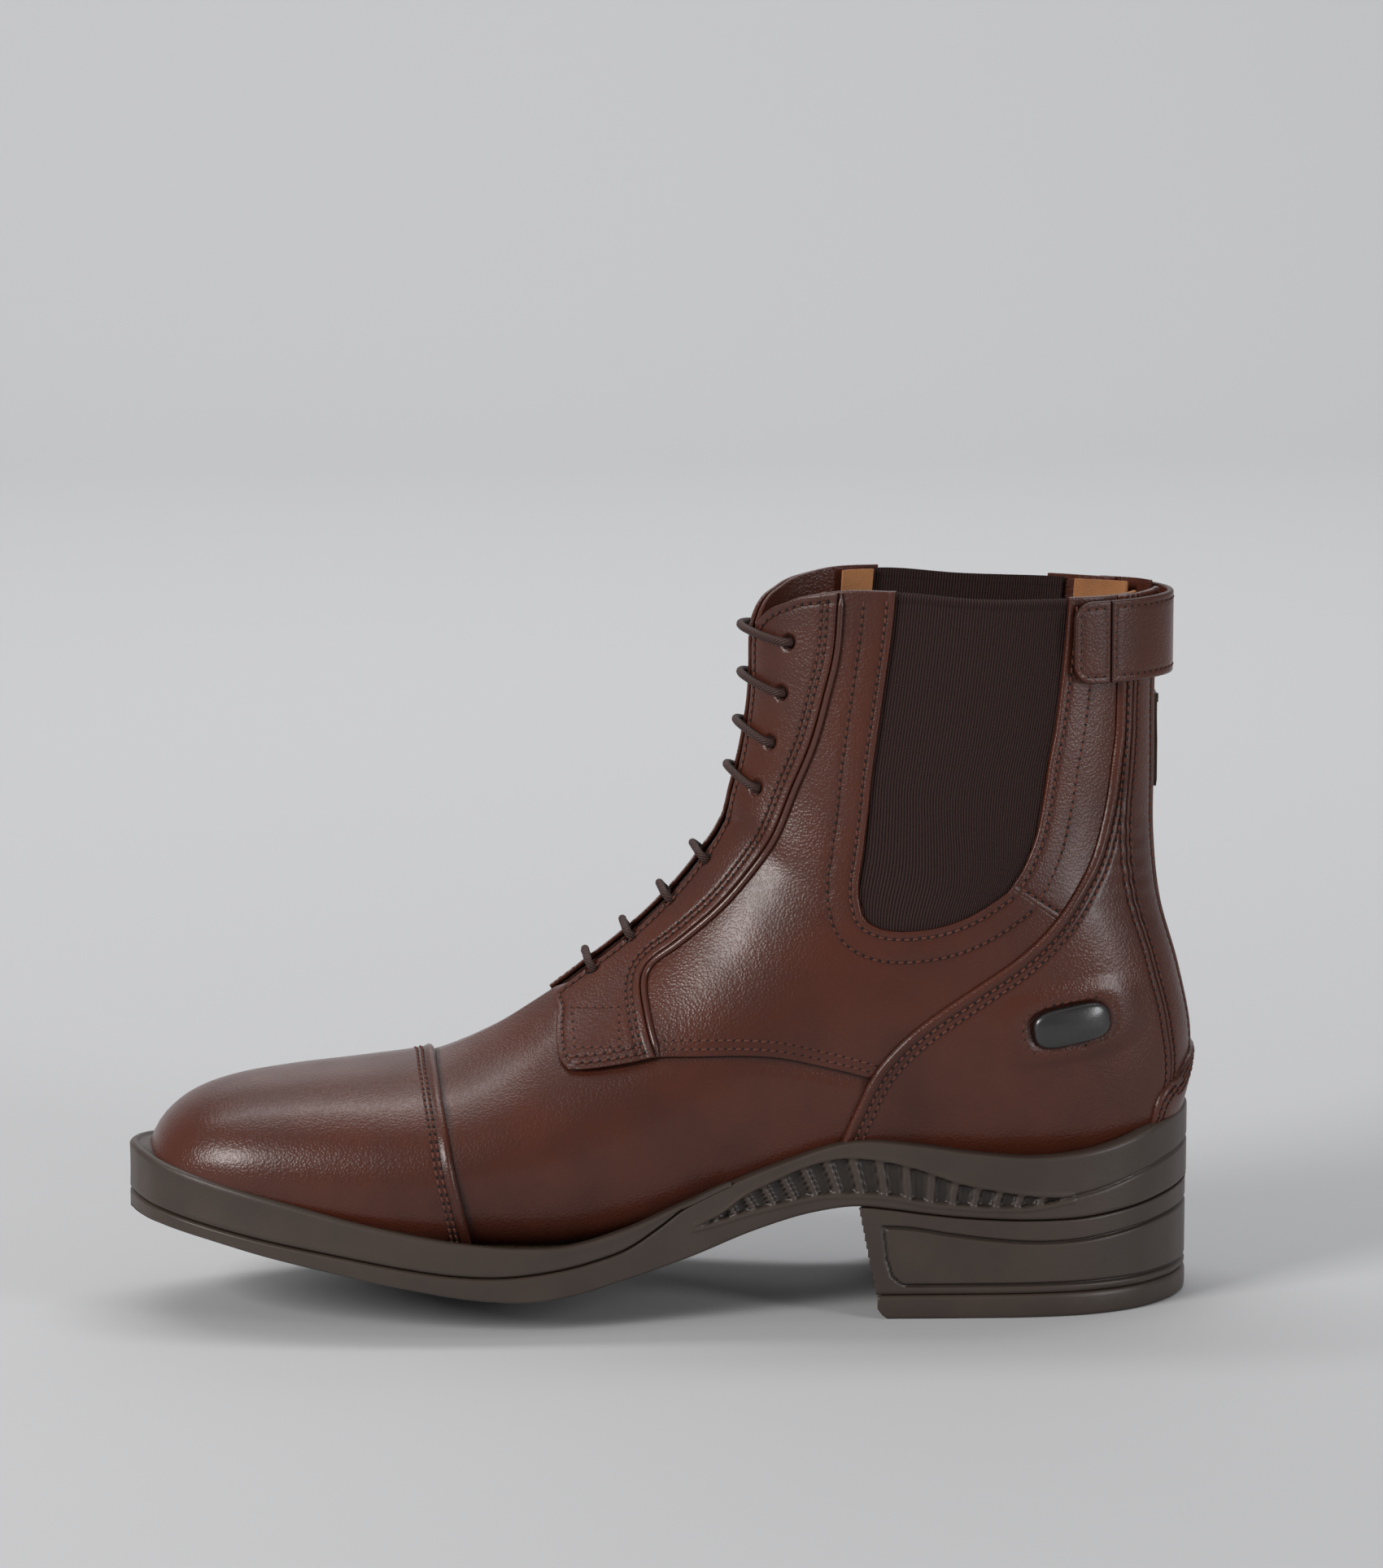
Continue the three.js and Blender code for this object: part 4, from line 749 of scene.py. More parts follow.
# ------------------------------------------------------------------ layers and seams
BASE_OUT, BASE_IN = 0.0, -1.3  # vamp and quarters
OVER_OUT, OVER_IN = 1.5, 0.3  # pieces sewn over them
PATCH_OUT, PATCH_IN = 2.8, 1.8
ELASTIC_OUT, ELASTIC_IN = -1.6, -2.7
LINING_OUT, LINING_IN = -3.0, -4.0
TONGUE_OUT, TONGUE_IN = -5.2, -7.6
SOCK_OUT, SOCK_IN = -4.3, -7.5

FACING_REAR = (
    (-3.3, 74.4), (-4.8, 79.4), (-5.8, 85.0), (-6.3, 90.5), (-5.4, 94.5), (-2.4, 98.1), (4.3, 103.1),
    (14.0, 111.5), (22.0, 120.4), (29.6, 131.5), (35.4, 146.0), (40.4, 159.0), (44.0, 173.0), (46.5, 184.6),
    (47.6, 200.2),
)
FACING_FOOT = ((-26.6, 70.4), (-19.7, 71.1), (-10.0, 72.8), (-3.3, 74.4))
VAMP_SEAM = (
    (-26.8, 70.2), (-19.7, 71.1), (-10.0, 72.8), (-3.0, 74.2), (7.4, 74.4), (20.8, 74.5), (31.1, 73.6),
    (41.2, 71.3), (50.3, 68.9), (57.0, 66.8),
)
COUNTER_EDGE = (
    (44.5, 38.0), (48.4, 51.3), (51.9, 59.8), (55.2, 66.8), (58.8, 72.3), (65.6, 79.4), (74.6, 86.3),
    (85.3, 93.2), (95.9, 100.2), (105.2, 108.5), (112.6, 118.4), (117.4, 127.5), (120.9, 140.0),
    (122.7, 152.0), (124.0, 165.0), (124.0, 198.2),
)
GUSSET_FRONT = (
    (54.6, 110.2), (52.4, 114.0), (52.2, 121.0), (53.4, 129.4), (54.7, 140.0), (55.7, 149.8), (57.5, 162.3),
    (59.3, 174.6), (61.4, 189.5), (62.5, 200.8),
)
GUSSET_REAR = (
    (97.9, 124.7), (101.5, 133.1), (103.6, 142.7), (105.3, 153.4), (106.9, 161.2), (108.3, 170.9),
    (109.6, 182.5), (110.4, 193.0), (110.8, 198.4),
)
GUSSET_FOOT = (
    (54.6, 110.2), (59.1, 108.3), (65.8, 107.9), (74.8, 109.1), (83.4, 112.2), (92.5, 117.8), (97.9, 124.7),
)
STRIP_HALF = (
    (50.0, 16.0), (66.0, 17.6), (76.0, 19.0), (90.0, 19.4), (108.0, 19.0), (125.0, 18.0), (143.0, 16.5),
    (160.0, 15.0), (175.0, 14.4), (205.0, 14.2),
)
CAP_SEAM = (
    (-54.0, 24.0), (-56.8, 37.0), (-58.7, 45.0), (-60.1, 54.0), (-61.2, 62.0), (-62.0, 68.0),
)
TOP_LINE = (
    (20.0, 176.0), (25.6, 185.0), (28.1, 191.0), (35.0, 197.2), (44.0, 200.0), (62.5, 200.8), (86.0, 198.8),
    (111.0, 198.2), (125.0, 198.0), (150.0, 199.6),
)
THROAT_HALF = 5.0
ZIP_HALF = 5.0
ZIP_FOOT = 66.0
EYELETS = (
    (-18.1, 93.1), (-7.4, 101.8), (3.5, 112.2), (13.3, 123.6), (26.9, 144.9), (30.6, 157.8), (33.5, 171.8),
    (35.3, 185.9),
)
HOLE_RADIUS = 1.9
TOP_X, TOP_Z = np.array(TOP_LINE).T




def where(angle: Array, inside: Callable[[Array], Array], low: float, high: float) -> Array:
    """The section up to which a test holds, for each angle, by bisection.

    Args:
        angle: Angles.
        inside: A test of points, true at low and false at high.
        low: First section.
        high: Last section.

    Returns:
        One section for each angle.
    """
    start, end = np.full(len(angle), float(low)), np.full(len(angle), float(high))
    for _ in range(HALVINGS):
        middle = (start + end) / 2
        held = inside(LAST.point(middle, angle))
        start, end = np.where(held, middle, start), np.where(held, end, middle)
    return start


def under_top(p: Array, drop: float = 0.0) -> Array:
    """True for points below the top line, or below a line a drop under it."""
    return p[..., 2] < smooth_at(p[..., 0], TOP_X, TOP_Z) - drop


def top_t(angle: Array, drop: float = 0.0) -> Array:
    """The section at which the surface meets the top line, for each angle."""
    return where(angle, lambda p: under_top(p, drop), 18, 25)


def nearest(points: Array, line: Array) -> Array:
    """Distance from each point to a line of points, measured to its segments."""
    found = np.empty(len(points))
    for start in range(0, len(points), 4000):
        block = points[start:start + 4000]
        k = np.argmin(((block[:, None] - line[None]) ** 2).sum(-1), 1)
        best = np.full(len(block), 1e9)
        for first in (np.clip(k - 1, 0, len(line) - 2), np.clip(k, 0, len(line) - 2)):
            a, b = line[first], line[first + 1]
            run = b - a
            share = np.clip(((block - a) * run).sum(-1) / np.maximum((run * run).sum(-1), 1e-12), 0, 1)
            best = np.minimum(best, np.linalg.norm(block - a - run * share[:, None], axis=1))
        found[start:start + 4000] = best
    return found


def spread(length: float, step: float) -> Array:
    """Shares of a length, closest near its ends: a ladder of short steps, then even ones."""
    ladder = np.array([0, 0.12, 0.3, 0.5, 0.75, 1.05, 1.4, 1.8, 2.3, 2.9, 3.6, 4.5])
    ladder = ladder[ladder < length * 0.4]
    inner = length - 2 * ladder[-1]
    even = np.linspace(ladder[-1], length - ladder[-1], max(2, int(inner / step) + 1))
    return np.concatenate([ladder[:-1], even, length - ladder[-2::-1]]) / length


def along(line: Array, shares: Array) -> Array:
    """Reads a line of section and angle at shares of its real length."""
    lengths = arc_lengths(LAST.point(line[:, 0], line[:, 1]))
    return resample(line, lengths / lengths[-1], shares)


def length_of(line: Array) -> float:
    """Real length of a line of section and angle."""
    return float(arc_lengths(LAST.point(line[:, 0], line[:, 1]))[-1])


def stitches_along(line: Array, depth: float) -> tuple[Array, Array]:
    """Lays stitches along a line of the surface, with a near-black body of painted shade in each needle hole.

    A stitch is a run of hexagons, thinner and sunk at both ends, turned a little off the row. A hole is a
    flat, near-black body of three hexagons between two stitches: painted shade in the needle hole.

    Args:
        line: Rows of section and angle.
        depth: Depth of the face that they lie on.

    Returns:
        Rings of every stitch, and rings of every hole: stitches by rings by points by 3.
    """
    count = max(2, int(length_of(line) / STITCH))
    spots = along(line, (np.arange(count) + 0.5) / count)
    centre = LAST.point(spots[:, 0], spots[:, 1], depth)
    out = LAST.axes(spots[:, 0], spots[:, 1], depth)[2]
    run = np.gradient(centre, axis=0)
    run -= out * (run * out).sum(-1, keepdims=True)
    run /= np.linalg.norm(run, axis=-1, keepdims=True)
    across = np.cross(out, run)
    run = run + across * 0.10
    half, girth = STITCH * 0.34, 0.36
    turn = np.arange(6) * math.pi / 3
    bodies = []
    for stations, radii, sink, start in (
        (
            np.array([-1.0, -0.86, -0.4, 0.4, 0.86, 1.0]) * half,
            np.array([0.3, 0.85, 1.0, 1.0, 0.85, 0.3]), 0.02, 0.0,
        ),
        (np.array([-0.34, 0.0, 0.34]), np.array([0.6, 1.0, 0.6]), 0.03, STITCH / 2),
    ):
        ring_r = radii * girth * (1.0 if start == 0 else 1.25)
        flat = 1.0 if start == 0 else 0.35
        lift = sink + np.where(np.abs(stations) > half * 0.9, -0.12, 0.0)
        along_run = stations[None, :, None, None] * run[:, None, None] + start * run[:, None, None]
        side = (ring_r[:, None] * np.cos(turn))[None, ..., None] * across[:, None, None]
        rise = (ring_r[:, None] * np.sin(turn) * flat + lift[:, None])[None, ..., None] * out[:, None, None]
        bodies.append(centre[:, None, None] + along_run + side + rise)
    return bodies[0], bodies[1]


def many_bodies(rings: Array) -> tuple[Array, Array]:
    """Joins many small ring bodies of one shape into one list of points and triangles."""
    points, faces = ring_body(rings[0])
    middles = rings[:, [0, -1]].mean(2)
    every = np.concatenate([rings.reshape(len(rings), -1, 3), middles], 1)
    shift = (np.arange(len(rings)) * len(points))[:, None, None]
    return every.reshape(-1, 3), (faces[None] + shift).reshape(-1, 3)


STITCH = 2.35  # from one stitch to the next
STITCH_DIP = 0.22  # depth of the groove that a row of stitches lies in
CUT_ROLL, FOLD_ROLL = 0.45, 0.95  # edge radii
TUCK_DIP = 1.25  # how deep a tucked edge runs under its neighbour


def cut(*edges: str) -> dict[str, EdgeKind]:
    """The edges named, as cut ones."""
    return dict.fromkeys(edges, EdgeKind.CUT)


@dataclass
class Seams:
    """Collects a sub-assembly's stitches and makes one piece of thread and one of near-black needle hole
    bodies, which are painted shade.
    """

    name: str
    body: str = "root"
    threads: list[Array] = field(default_factory=list)
    holes: list[Array] = field(default_factory=list)

    def sew(self, line: Array, depth: float) -> None:
        """Adds a row of stitches along a line of section and angle, unless it is too short for two."""
        if len(line) < 3 or length_of(line) < 5:
            return
        thread, hole = stitches_along(line, depth)
        self.threads.append(thread)
        self.holes.append(hole)

    def make(self) -> None:
        """Makes the two pieces."""
        kinds = ("thread", self.threads, Look.THREAD), ("needle_holes", self.holes, Look.NEEDLE)
        for label, bodies, look in kinds:
            if bodies:
                piece = new_mesh(f"{self.name}_{label}", *many_bodies(np.concatenate(bodies)))
                settle(piece, WARDROBE[look], self.body)


@dataclass
class Panel:
    """A leather panel: a patch of the surface between four lines, with its own depth, edges and stitching.

    low and high run from left to right, and left and right from low to high, as rows of section and angle.
    """

    name: str
    low: Array
    high: Array
    left: Array
    right: Array
    kinds: dict[str, EdgeKind] = field(default_factory=dict)
    outer: float = OVER_OUT
    inner: float = OVER_IN
    step: float = 2.6
    rows: Sequence[tuple[str, float]] = ()
    relief: Callable[[Array], Array] | None = None
    shade: Callable[[Array], Array] | None = None

    def __post_init__(self) -> None:
        """Lays the net of the patch and measures how far each node is from each edge."""
        wide = max(length_of(self.low), length_of(self.high))
        tall = max(length_of(self.left), length_of(self.right))
        u, v = spread(wide, self.step), spread(tall, self.step)
        low, high = along(self.low, u)[None], along(self.high, u)[None]
        left, right = along(self.left, v)[:, None], along(self.right, v)[:, None]
        u, v = u[None, :, None], v[:, None, None]
        under, over = ((1 - u) * line[:, :1] + u * line[:, -1:] for line in (low, high))
        corners = (1 - v) * under + v * over
        self.net = (1 - v) * low + v * high + (1 - u) * left + u * right - corners
        self.measure()

    def measure(self) -> None:
        """Works out the outer face, and for each node of it the distance to each edge."""
        self.face = LAST.point(self.net[..., 0], self.net[..., 1], self.outer)
        low, high, left, right = self.net[0], self.net[-1], self.net[:, 0], self.net[:, -1]
        self.edges = {"low": low, "high": high, "left": left, "right": right}
        self.gaps = {}
        for edge, line in self.edges.items():
            fine = along(line, np.linspace(0, 1, int(length_of(line) / 0.8) + 3))
            self.gaps[edge] = nearest(self.face.reshape(-1, 3), self.rim(fine)).reshape(self.face.shape[:2])

    def rim(self, line: Array) -> Array:
        """Points of the outer face along a line of section and angle."""
        return LAST.point(line[:, 0], line[:, 1], self.outer)

    def trace(self, edge: str, offset: float) -> Array:
        """The line at a distance inside an edge, as rows of section and angle, kept off the other edges."""
        gap, net = self.gaps[edge], self.net
        if edge in ("low", "high"):
            gap, net = gap.T, net.transpose(1, 0, 2)
        if edge in ("high", "right"):
            gap, net = gap[:, ::-1], net[:, ::-1]
        rising = np.maximum.accumulate(gap, 1) + np.arange(gap.shape[1]) * 1e-7
        line = np.stack([
            [np.interp(offset, r, n[:, 0]) for r, n in zip(rising, net)],
            [np.interp(offset, r, n[:, 1]) for r, n in zip(rising, net)],
        ], -1)
        spots = self.rim(line)
        keep = np.abs(nearest(spots, self.rim(net[:, 0])) - offset) < 0.5
        for other, end in self.edges.items():
            if other != edge and self.kinds.get(other) not in (None, EdgeKind.TUCK):
                keep &= nearest(spots, self.rim(end)) > min(offset, 2.0)
        return line[keep]

    def depth(self) -> tuple[Array, Array]:
        """Depth of the outer face, and the painted shade of each node, from 0 to 1."""
        depth = np.full(self.face.shape[:2], self.outer)
        painted_shade = np.zeros_like(depth)
        for edge, kind in self.kinds.items():
            gap = self.gaps[edge]
            if kind is EdgeKind.TUCK:
                depth -= TUCK_DIP * (1 - ease(gap, 3.2, 8.0))
                # painted shade where the edge runs under its neighbour
                painted_shade += 0.9 * (1 - ease(gap, 3.0, 5.2))
                continue
            radius = CUT_ROLL if kind is EdgeKind.CUT else FOLD_ROLL
            inset = np.clip(1 - gap / radius, 0, 1)
            depth -= radius * (1 - np.sqrt(1 - inset * inset))
            if kind is EdgeKind.FOLD:
                depth += 0.30 * hump(gap, 1.15, 0.75) - 0.12 * hump(gap, 2.6, 0.5)
                # painted shade in the dip behind the folded bead
                painted_shade += 0.35 * hump(gap, 2.5, 0.35)
        for edge, offset in self.rows:
            near = hump(self.gaps[edge], offset, 0.55)
            depth -= STITCH_DIP * near
            # painted shade in the groove of the row of stitches
            painted_shade += 0.3 * near
        if self.relief:
            depth += self.relief(self.face)
        if self.shade:
            # the panel's own painted shade, in its holes and grooves
            painted_shade += self.shade(self.face)
        return depth, np.clip(painted_shade, 0, 1)

    def make(self, seams: Seams | None, stands_for: Sequence[str] = (), look: Look = Look.LEATHER,
             slot: str = "leather") -> bpy.types.Object:
        """Makes the panel, and hands its rows of stitches to the sub-assembly's seams.

        Args:
            seams: Where the stitches are collected.
            stands_for: CAD nodes that the piece stands for.
            look: Its finish.
            slot: Not used.

        Returns:
            The piece.
        """
        depth, painted_shade = self.depth()
        t, a = self.net[..., 0], self.net[..., 1]
        outer = LAST.point(t, a, depth)
        inner = LAST.point(t, a, np.minimum(self.inner, depth - 0.35))
        points, faces = closed_sheet(outer, inner)
        piece = new_mesh(self.name, points, faces)
        # the painted shade goes on both faces as the attribute named seam
        paint(piece, "seam", np.concatenate([painted_shade.ravel(), painted_shade.ravel()]))
        wide = arc_lengths(self.face[len(self.face) // 2])
        tall = arc_lengths(self.face[:, self.face.shape[1] // 2])
        flat = np.stack(np.broadcast_arrays(wide[None], tall[:, None]), -1).reshape(-1, 2)
        lay_uv(piece, np.concatenate([flat, flat]))
        for edge, offset in self.rows:
            seams.sew(self.trace(edge, offset), self.outer - 0.08)
        return settle(piece, WARDROBE[look], "root", stands_for)


def joined(*lines: Array) -> Array:
    """Joins lines of section and angle end to end."""
    return np.concatenate(lines)


def straight(a: Array, b: Array, count: int = 12) -> Array:
    """A straight run between two rows of section and angle."""
    return a + (b - a) * np.linspace(0, 1, count)[:, None]


def top_between(a: Array, b: Array, count: int, drop: float = 0.0) -> Array:
    """The top line, or a line a drop under it, between the angles of two rows."""
    line = straight(a, b, count)
    line[:, 0] = top_t(line[:, 1], drop)
    return line


def cut_at_top(line: Array, drop: float = 0.0) -> Array:
    """Ends a rising line of section and angle where it meets the top line."""
    fine = along(line, np.linspace(0, 1, 300))
    under = under_top(LAST.point(fine[:, 0], fine[:, 1]), drop)
    last = len(under) if under.all() else int(np.argmin(under))
    kept = fine[:last]
    if last < len(fine):
        end = fine[last - 1:last + 1].mean(0)
        end[0] = top_t(end[1:2], drop)[0]
        kept = np.vstack([kept, end])
    return kept


def throat_edge(side: Side, half: float, foot: float = 9.05) -> Array:
    """The throat's edge on one side, from its foot to the top line."""
    t = np.linspace(foot, 24.6, 120)
    return cut_at_top(LAST.beside_middle(t, half, side))


def strip_edge(side: Side, low: float = 16.2, extra: float = 0.0) -> Array:
    """The back strip's outer edge, from a section up to the top line; extra widens the strip."""
    t = np.linspace(low, 24.9, 90)
    height = LAST.point(t, np.full(len(t), 0.5 * side.value))[:, 2]
    half = np.interp(height, *zip(*STRIP_HALF)) + extra
    return cut_at_top(LAST.beside_middle(t, half, side, front=False))


# ------------------------------------------------------------------ foot
@dataclass
class Foot:
    """Toe cap and vamp."""

    under: float = 0.22  # angle of the edges that are turned in under the foot
    lap: float = 5.0  # how far the vamp runs on under the cap
    cap_rows: tuple[float, float] = (3.4, 4.8)

    def across(self, rim: Callable[[Array], Array], count: int = 90) -> Array:
        """A line over the foot from the lateral to the medial side, its section given by a rule."""
        angle = np.linspace(self.under, 2 * math.pi - self.under, count)
        return np.stack([rim(angle), angle], -1)

    def sides(self, line0: Array, line1: Array) -> tuple[Array, Array]:
        """The two turned-in edges between the ends of a front line and a rear line."""
        return straight(line0[0], line1[0]), straight(line0[-1], line1[-1])

    def ahead_of_quarter(self, p: Array) -> Array:
        """True ahead of the vamp's rear edge, which runs 3 mm up under the quarter and the facing."""
        lap = 3.0
        x, z = p[..., 0], p[..., 2]
        seam = smooth_at(x, *(np.array(c) for c in zip(*VAMP_SEAM)))
        return (x < VAMP_SEAM[0][0] + 4) | ((z < seam + lap) & (x < 62))

    def make(self) -> None:
        """Makes both panels and their stitches."""
        seams = Seams("foot_seams")
        tip = self.across(lambda a: np.zeros(len(a)))
        cap_end = self.across(lambda a: where(a, lambda p: p[..., 0] < cap_edge_x(p), 0.5, 12))
        cap_start = self.across(lambda a: where(a, lambda p: p[..., 0] < cap_edge_x(p) - self.lap, 0.5, 12))
        vamp_end = self.across(lambda a: where(a, self.ahead_of_quarter, 3, 16), 150)
        left, right = self.sides(tip, cap_end)
        cap = Panel("toe_cap", tip, cap_end, left, right, {"high": EdgeKind.FOLD}, step=2.0,
                    rows=tuple(("high", offset) for offset in self.cap_rows))
        cap.make(seams, ("toe_cap",))
        left, right = self.sides(cap_start, vamp_end)
        # The vamp gets painted shade just behind the toe cap's folded edge, where the cap overhangs it.
        Panel("vamp", cap_start, vamp_end, left, right, {"high": EdgeKind.TUCK}, outer=BASE_OUT,
              inner=BASE_IN, step=1.8, shade=lambda p: 0.9 * (1 - ease(p[..., 0] - cap_edge_x(p), 0.2, 1.6)),
              relief=slack).make(seams, ("vamp",))
        seams.make()


def cap_edge_x(p: Array) -> Array:
    """Where the cap's seam is at a point's height."""
    places, heights = zip(*CAP_SEAM)
    return smooth_at(p[..., 2], heights, places)


def slack(p: Array) -> Array:
    """A trace of slack where the foot bends: two low, broad waves across the vamp."""
    x, z = p[..., 0], p[..., 2]
    return 0.10 * np.sin((x + 0.5 * z) * 0.22) * hump(x, -40, 16) * ease(z, 45, 62)


# ------------------------------------------------------------------ shaft
@dataclass
class Quarter:
    """One side of the shaft: quarter, gusset strip, elastic, facing, piping, heel cover and back strip."""

    side: Side
    counter_lap: float = 4.5
    gusset_rows: tuple[float, float] = (2.1, 8.4)

    def on(self, line: Line, per_span: int = 6) -> Array:
        """A seam on this side."""
        return LAST.seam(line, self.side, per_span)

    def behind(self, line: Line, shift: float) -> Array:
        """A counter edge line moved back by shift along the level."""
        return self.on([(x + shift, z) for x, z in line])

    def quarter(self, seams: Seams) -> None:
        """The quarter: a ribbon round the gusset, from the top line down the throat to the heel cover."""
        throat = throat_edge(self.side, THROAT_HALF + 0.8)[::-1]
        corner = self.on([(-26.8, 80.0), (-26.8, 70.2)], 4)
        vamp = self.on(VAMP_SEAM[1:])
        heel = self.behind(COUNTER_EDGE[4:10], self.counter_lap)
        outer = joined(throat, corner, vamp, heel)
        inner = joined(self.on(GUSSET_FRONT)[::-1], self.on([*GUSSET_FOOT[:6], (94.2, 119.6)])[1:])
        inner = cut_at_top(inner[::-1])[::-1]
        knots_out = [0, len(throat) // 2, len(throat), len(throat) + len(corner), len(throat) + len(corner)
                     + len(vamp) // 2, len(throat) + len(corner) + len(vamp), len(outer) - 1]
        knots_in = [0.0, 0.45, 0.66, 0.71, 0.76, 0.81, 1.0]
        lengths = arc_lengths(LAST.point(outer[:, 0], outer[:, 1]))
        shares = np.interp(lengths, lengths[knots_out], knots_in)
        inner = along(inner, shares)
        ends = top_between(outer[0], inner[0], 30)
        tail = straight(outer[-1], inner[-1], 20)
        name = self.side.named("quarter")
        RibbonPanel(
            name, outer, inner, ends, tail, cut("left", "right", "low", "high"),
            outer=BASE_OUT, inner=BASE_IN, step=2.2,
            rows=tuple(("right", offset) for offset in self.gusset_rows),
        ).make(seams, (name,))
        for offset in (1.9, 4.2):
            line = [(x, z + offset) for x, z in VAMP_SEAM if x > -4.5]
            seams.sew(self.on(line), BASE_OUT - 0.1)

    def gusset_strip(self, seams: Seams) -> None:
        """The strip behind the elastic, from its seam with the quarter up to the top line."""
        left = cut_at_top(joined(self.on([(93.9, 119.1), (97.9, 124.7)], 3), self.on(GUSSET_REAR)[1:]))
        right = cut_at_top(self.behind(COUNTER_EDGE[9:], self.counter_lap))
        low = straight(left[0], right[0])
        high = top_between(left[-1], right[-1], 20)
        name = self.side.named("gusset_strip")
        Panel(
            name, low, high, left, right,
            cut("left", "low", "high"), outer=BASE_OUT + 0.05, inner=BASE_IN,
            rows=tuple([("left", offset) for offset in self.gusset_rows] + [("low", 1.8)]),
        ).make(seams, (name,))

    def elastic(self) -> None:
        """The elastic: a ribbed panel that runs on under the leather round it, with a rolled top edge."""
        lap, drop = 5.0, 0.6
        front = [(x - lap, z) for x, z in GUSSET_FRONT[1:]]
        rear = [(x + lap, z) for x, z in GUSSET_REAR]
        left = cut_at_top(self.on([(front[0][0], 107.0), *front]), drop)
        right = cut_at_top(self.on([(rear[0][0], 117.0), *rear]), drop)
        foot = self.on([(front[0][0], 107.0), (62, 103), (75, 104.2), (90, 110), (rear[0][0], 117.0)], 8)
        low = along(foot, np.linspace(0, 1, 30))
        high = top_between(left[-1], right[-1], 30, drop)
        name = self.side.named("gusset")
        Panel(
            name, low, high, left, right, {"high": EdgeKind.FOLD},
            outer=ELASTIC_OUT, inner=ELASTIC_IN, step=1.6,
        ).make(None, (name,), Look.ELASTIC, "elastic")

    def facing_lines(self) -> tuple[Array, Array, Array, Array]:
        """The facing's four edges."""
        front = self.on([(-26.6, 70.4), (-28.8, 73.0), (-29.3, 78.0), (-28.4, 83.0)], 5)
        throat = throat_edge(self.side, THROAT_HALF, 9.15)
        left = joined(front, throat)
        right = cut_at_top(self.on(FACING_REAR))
        low = self.on(FACING_FOOT)
        return low, top_between(left[-1], right[-1], 40), left, right

    def eyelets(self) -> Array:
        """The eyelets' places, as rows of section and angle."""
        return LAST.locate(np.array(EYELETS), self.side)

    def facing(self, seams: Seams) -> None:
        """The facing, with punched holes and rows of stitches; the piping lies behind its rear edge."""
        holes = self.eyelets()
        spots = LAST.point(holes[:, 0], holes[:, 1], OVER_OUT)

        def to_hole(p: Array) -> Array:
            """Distance to the nearest hole's middle."""
            return np.linalg.norm(p[..., None, :] - spots, axis=-1).min(-1)

        def relief(p: Array) -> Array:
            """Sinks the holes, lifts a rim round each, and dents the edge where the throat bends."""
            far = to_hole(p)
            notch = hump(p[..., 2], 135.0, 1.1) * hump(p[..., 1], self.side.value * 7.5, 3.5)
            sunk = 1 - ease(far, HOLE_RADIUS - 0.45, HOLE_RADIUS + 0.3)
            return -1.45 * sunk + 0.1 * hump(far, 2.9, 0.6) - 0.4 * notch

        def shade(p: Array) -> Array:
            """Painted shade in the punched holes."""
            return 0.95 * (1 - ease(to_hole(p), HOLE_RADIUS - 0.3, HOLE_RADIUS + 0.5))

        low, high, left, right = self.facing_lines()
        name = self.side.named("facing")
        Panel(
            name, low, high, left, right, cut("low", "left", "right", "high"),
            step=0.62, relief=relief, shade=shade,
            rows=(("left", 2.0), ("right", 2.3), ("right", 3.9), ("low", 1.9), ("low", 4.0), ("high", 2.2)),
        ).make(seams, (name,))
        self.facing_box(seams)
        self.piping(right)

    def facing_box(self, seams: Seams) -> None:
        """The stitched window on the facing's foot."""
        x0, x1, z0, z1 = -24.5, -12.5, 75.4, 84.0
        corners = [(x0, z0), (x1, z0 + 1.0), (x1 + 0.6, z1 + 1.6), (x0, z1)]
        for a, b in zip(corners, corners[1:] + corners[:1]):
            seams.sew(self.on([a, b], 10), OVER_OUT - 0.1)

    def piping(self, edge: Array) -> None:
        """The piping: a bead laid in the step behind the facing's rear edge."""
        count, girth = 150, 0.85
        line = along(edge, np.linspace(0, 1, count))
        path = LAST.point(line[:, 0], line[:, 1], 0.62)
        out = LAST.axes(line[:, 0], line[:, 1])[2]
        run = np.gradient(path, axis=0)
        run /= np.linalg.norm(run, axis=1, keepdims=True)
        aside = np.cross(out, run)
        aside *= np.sign(aside[len(aside) // 2, 0])
        from_end = np.minimum(np.arange(count), np.arange(count)[::-1])
        radius = girth * np.clip(from_end / 3, 0.3, 1)
        name = self.side.named("facing_piping")
        piece = new_mesh(name, *ring_body(sweep(path + aside * 0.95, radius, 12)))
        settle(piece, WARDROBE[Look.BEAD], "root", (name,))

    def counter_cover(self, seams: Seams, spur: "SpurRest") -> None:
        """The heel cover, from the sole up beside the back strip to the top line."""
        left = cut_at_top(self.on(COUNTER_EDGE))
        right = strip_edge(self.side, extra=0.25)
        foot = self.on([(44.5, 38.0), (60.0, 40.0), (80.0, 41.0), (100.0, 41.0)])
        low = joined(foot, straight(foot[-1], right[0], 14)[1:])
        high = top_between(left[-1], right[-1], 16)

        def relief(p: Array) -> Array:
            """Puffs the leather round the spur rest, and sinks it under the rest's edge."""
            r = spur.radius(p)
            puffed, sunk = 1 - ease(r, 1.5, 2.3), 1 - ease(r, 1.02, 1.18)
            puff = 0.85 * puffed - 1.1 * sunk - 0.2 * hump(r, 1.27, 0.06)
            return np.where(p[..., 1] * self.side.value > 0, puff, 0.0) + self.ripples(p)

